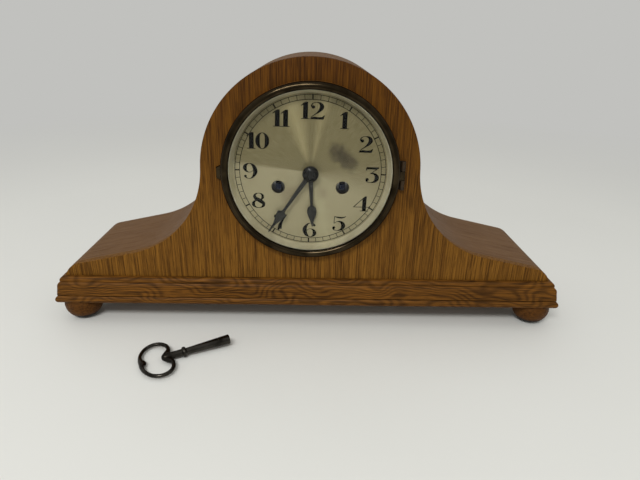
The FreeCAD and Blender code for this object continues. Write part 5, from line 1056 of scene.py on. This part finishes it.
def add_hand(name, spade, length, degrees, front, boss, bore, body):
    """Spade hand with bevelled edges and a ridge down its middle, turned clockwise from twelve.

    The spade is given as (half width, share of the length) stations from the neck to the point.
    """
    stations = [(HAND_ROOT, boss - BOSS_LAP)] + [(half, share * length) for half, share in spade]
    turn = math.radians(degrees)
    mesh = bmesh.new()
    ridge = front + HAND_RIDGE
    bevel = front + HAND_BEVEL
    back = front + HAND_SHEET

    def at(across, along, y):
        x = DIAL_CENTRE[0] + across * math.cos(turn) + along * math.sin(turn)
        z = DIAL_CENTRE[1] + along * math.cos(turn) - across * math.sin(turn)
        return mesh.verts.new((x, y, z))

    rows = []
    for half, along in stations:
        edge = min(HAND_BEVEL, HAND_BEVEL_SHARE * half)
        across_hand = [
            (-half, back), (-half, bevel), (edge - half, ridge), (0.0, front),
            (half - edge, ridge), (half, bevel), (half, back),
        ]
        rows.append([at(across, along, y) for across, y in across_hand])
    for first, second in zip(rows, rows[1:]):
        bridge(mesh, first, second)
    mesh.faces.new(rows[0])
    mesh.faces.new(rows[-1])
    boss_section = [
        (bore, back), (bore, front), (boss - BOSS_EASE, front), (boss, front + BOSS_EASE), (boss, back),
    ]
    turned(mesh, boss_section, on_dial, 48)
    add_piece(f"blued_{name}", mesh, hand_blue, body, "hand_steel", name, crease=20)


hand_blue = metal("hand_blue", srgb(42, 41, 37), srgb(30, 30, 27), 0.36, 120.0, metallic=0.5)
add_hand(
    "hour_hand", HOUR_SPADE, length=44.5, degrees=177.5, front=-48.45, boss=6.0, bore=PIPE_BORE, body="hour",
)
add_hand(
    "minute_hand", MINUTE_SPADE, length=59.5, degrees=214.6, front=-50.65, boss=5.0, bore=ARBOR_BORE,
    body="minute",
)


# Hand nut: a closed domed nut of black steel, turned and polished.
# It is screwed on the end of the centre arbor and holds the minute hand.
NUT_RADIUS = 6.7
NUT_BACK = -50.65
NUT_EDGE = -51.6
NUT_ROUND = (4.6, -53.35)
NUT_CROWN = -54.3
NUT_BORE_END = -53.3

nut_black = metal("nut_black", srgb(12, 11, 10), srgb(7, 7, 6), 0.16, 150.0, metallic=0.0)
nut_black.node_tree.nodes["Principled BSDF"].inputs["Specular IOR Level"].default_value = 0.2
nut = bmesh.new()
nut_section = [(0.0, NUT_CROWN)] + through((0.0, NUT_CROWN), NUT_ROUND, (NUT_RADIUS, NUT_EDGE), 12)[1:]
nut_section += [
    (NUT_RADIUS, NUT_BACK), (ARBOR_BORE, NUT_BACK), (ARBOR_BORE, NUT_BORE_END), (0.0, NUT_BORE_END),
]
turned(nut, nut_section, on_dial, 64)
add_piece("domed_hand_nut", nut, nut_black, "minute", "hand_steel", "hand_nut")


# Winding key: a black forged key with a kidney-shaped bow of round bar and a tapered barrel.
# The square socket in its end fits both winding squares, and it lies loose in front of the clock.
KEY_TIP = (-66.7, -89.8)
KEY_HEADING = math.radians(25.8)
KEY_LENGTH = 74.0
KEY_TIP_RADIUS = 4.9
KEY_COLLAR = (36.1, 4.4)
KEY_BAR_RISE = 1.85
KEY_BOW_MIDDLE = 12.3
KEY_TILT = math.atan2(KEY_TIP_RADIUS - KEY_BAR_RISE, KEY_LENGTH - KEY_BOW_MIDDLE)
KEY_SOCKET_HALF = 2.6
KEY_SOCKET_END = 60.0
KEY_TURNS = 64
BOW_STEPS = 8
BOW_SIDES = 16
# Half of the bow as (along, across, half of the bar) stations, from its far end to the cusp.
BOW_HALF = [
    (3.2, 0.0, 3.1), (2.3, 4.5, 2.1), (3.2, 11.0, 1.6), (7.2, 18.0, 1.5), (13.6, 21.8, 1.55),
    (20.0, 20.8, 1.6), (24.4, 15.8, 1.65), (25.2, 9.4, 1.8), (23.2, 5.0, 2.6), (21.2, 1.8, 2.8),
]


def key_height(along, rise):
    """Height of a place on the tilted key over the foot of its tip."""
    return (along - KEY_LENGTH) * math.sin(KEY_TILT) + (rise + KEY_TIP_RADIUS) * math.cos(KEY_TILT)


def on_key(along, across, rise):
    """Place on the key, by distance from its bow's end, sideways and up, as it lies on its collar."""
    run = (along - KEY_LENGTH) * math.cos(KEY_TILT) - (rise + KEY_TIP_RADIUS) * math.sin(KEY_TILT)
    return (
        KEY_TIP[0] + run * math.cos(KEY_HEADING) - across * math.sin(KEY_HEADING),
        KEY_TIP[1] + run * math.sin(KEY_HEADING) + across * math.cos(KEY_HEADING),
        key_height(along, rise) - key_height(KEY_COLLAR[0], -KEY_COLLAR[1]),
    )


def on_barrel(radius, along, angle):
    """Place round the key's own line; the socket's reach is squared off."""
    reach = radius
    if radius == KEY_SOCKET_HALF:
        reach = radius / max(abs(math.cos(angle)), abs(math.sin(angle)))
    return on_key(along, reach * math.cos(angle), reach * math.sin(angle))


key_black = metal("key_black", srgb(66, 63, 58), srgb(34, 31, 27), 0.1, 90.0)
key = bmesh.new()
bow = BOW_HALF + [(along, -across, bar) for along, across, bar in reversed(BOW_HALF[1:])]
bow_path = smooth_path(bow[-2:] + bow + bow[:2], BOW_STEPS)[2 * BOW_STEPS:(2 + len(bow)) * BOW_STEPS]
bow_rows = []
for k, (along, across, bar) in enumerate(bow_path):
    before, after = bow_path[k - 1], bow_path[(k + 1) % len(bow_path)]
    run_along, run_across = after[0] - before[0], after[1] - before[1]
    run = math.hypot(run_along, run_across)
    bow_rows.append([])
    for n in range(BOW_SIDES):
        side = bar * math.cos(math.tau * n / BOW_SIDES) / run
        rise = min(bar, KEY_BAR_RISE) * math.sin(math.tau * n / BOW_SIDES)
        bow_rows[-1].append(key.verts.new(on_key(along - run_across * side, across + run_along * side, rise)))
for k, bow_row in enumerate(bow_rows):
    bridge(key, bow_row, bow_rows[(k + 1) % len(bow_rows)])
key_section = [(0.0, 17.8), (1.5, 18.1), (2.7, 19.2), (3.4, 21.4), (3.3, 24.4), (3.0, 26.5), (3.0, 34.2)]
key_section += through((3.2, 34.4), (KEY_COLLAR[1], KEY_COLLAR[0]), (3.2, 37.8), 8)
key_section += [(2.8, 38.2), (4.2, 73.4), (3.9, KEY_LENGTH), (KEY_SOCKET_HALF, KEY_LENGTH)]
key_section += [(KEY_SOCKET_HALF, KEY_SOCKET_END), (0.0, KEY_SOCKET_END)]
turned(key, key_section, on_barrel, KEY_TURNS)
add_piece("forged_winding_key", key, key_black, "winding_key", "key_iron", "winding_key")


# Stage: a plain pale top for the clock to stand on, in soft light, seen from the photograph's standpoint.
# It fades into a plain backdrop of its own tone behind the clock.
TABLE_REACH = 8.0
TABLE_CLEAR = 0.5
TABLE_LOST = 1.3
BACKDROP = srgb(193, 193, 190)
ROOM_FRONT = srgb(174, 174, 171)
ROOM_ABOVE = srgb(214, 214, 212)


def backdrop_tone(tree, direction):
    """Tone of the surroundings in a direction: pale behind the clock and dimmer in front of it."""
    ahead_share = node(tree, "SeparateXYZ", Vector=direction).outputs[1]
    return mixed(tree, stepped(tree, ahead_share, -0.5, 0.1), ROOM_FRONT, BACKDROP)


table_pale, table_tree, table_shader = new_material("table_pale")
table_place = node(table_tree, "TexCoord").outputs["Object"]
table_cloud = node(table_tree, "TexNoise", Vector=table_place, Scale=3.0, Detail=3.0).outputs["Fac"]
table_colour = mixed(table_tree, table_cloud, srgb(227, 227, 222), srgb(221, 221, 216))
join(table_tree, table_shader.inputs["Base Color"], table_colour)
table_shader.inputs["Roughness"].default_value = 0.5
table_shader.inputs["Specular IOR Level"].default_value = 0.2
table_gap = node(table_tree, "VectorMath", {"operation": "LENGTH"}, Vector=table_place).outputs["Value"]
table_way = node(table_tree, "VectorMath", {"operation": "NORMALIZE"}, Vector=table_place).outputs["Vector"]
table_lost = node(table_tree, "Emission", Color=backdrop_tone(table_tree, table_way), Strength=1.0)
table_mix = node(table_tree, "MixShader", Fac=stepped(table_tree, table_gap, TABLE_CLEAR, TABLE_LOST))
table_tree.links.new(table_shader.outputs[0], table_mix.inputs[1])
table_tree.links.new(table_lost.outputs[0], table_mix.inputs[2])
table_tree.links.new(table_mix.outputs[0], table_tree.nodes["Material Output"].inputs["Surface"])
table = bpy.data.meshes.new("table")
table_corners = [(sx * TABLE_REACH, sy * TABLE_REACH, 0) for sx, sy in ((-1, -1), (1, -1), (1, 1), (-1, 1))]
table.from_pydata(table_corners, [], [(0, 1, 2, 3)])
table.materials.append(table_pale)
table_top = bpy.data.objects.new("table_top", table)
bpy.context.scene.collection.objects.link(table_top)

room = bpy.data.worlds.new("room")
room.use_nodes = True
bpy.context.scene.world = room
room_tree = room.node_tree
room_way = node(room_tree, "TexCoord").outputs["Generated"]
room_height = node(room_tree, "SeparateXYZ", Vector=room_way).outputs[2]
room_tone = mixed(
    room_tree, stepped(room_tree, room_height, 0.3, 0.9), backdrop_tone(room_tree, room_way), ROOM_ABOVE
)
join(room_tree, room_tree.nodes["Background"].inputs["Color"], room_tone)
room_tree.nodes["Background"].inputs["Strength"].default_value = 1.0

DAYLIGHT_PLACE = Vector((-0.35, -1.3, 1.35))
DAYLIGHT_AIM = Vector((0.0, 0.0, 0.1))
daylight = bpy.data.lights.new("daylight", "AREA")
daylight.shape = "RECTANGLE"
daylight.size = 0.8
daylight.size_y = 0.35
daylight.energy = 18.0
soft_lamp = bpy.data.objects.new("daylight", daylight)
soft_lamp.location = DAYLIGHT_PLACE
soft_lamp.rotation_euler = (DAYLIGHT_AIM - DAYLIGHT_PLACE).to_track_quat("-Z", "Y").to_euler()
soft_lamp.visible_camera = False
bpy.context.scene.collection.objects.link(soft_lamp)

CAMERA_PLACE = Vector((0.0018, -0.44975, 0.2464))
CAMERA_YAW = math.radians(-1.02)
CAMERA_PITCH = math.radians(22.4)
CAMERA_ROLL = math.radians(1.2)
right = Vector((math.cos(CAMERA_YAW), math.sin(CAMERA_YAW), 0.0))
level = Vector((-math.sin(CAMERA_YAW), math.cos(CAMERA_YAW), 0.0))
ahead = math.cos(CAMERA_PITCH) * level - math.sin(CAMERA_PITCH) * Vector((0.0, 0.0, 1.0))
above = math.sin(CAMERA_PITCH) * level + math.cos(CAMERA_PITCH) * Vector((0.0, 0.0, 1.0))
tilted_right = math.cos(CAMERA_ROLL) * right + math.sin(CAMERA_ROLL) * above
tilted_up = -math.sin(CAMERA_ROLL) * right + math.cos(CAMERA_ROLL) * above
lens = bpy.data.cameras.new("camera")
lens.sensor_width = 36.0
lens.lens = 28.125
camera = bpy.data.objects.new("camera", lens)
camera.matrix_world = Matrix.LocRotScale(
    CAMERA_PLACE, Matrix((tilted_right, tilted_up, -ahead)).transposed().to_quaternion(), None)
bpy.context.scene.collection.objects.link(camera)
bpy.context.scene.camera = camera
bpy.context.scene.view_settings.view_transform = "Standard"
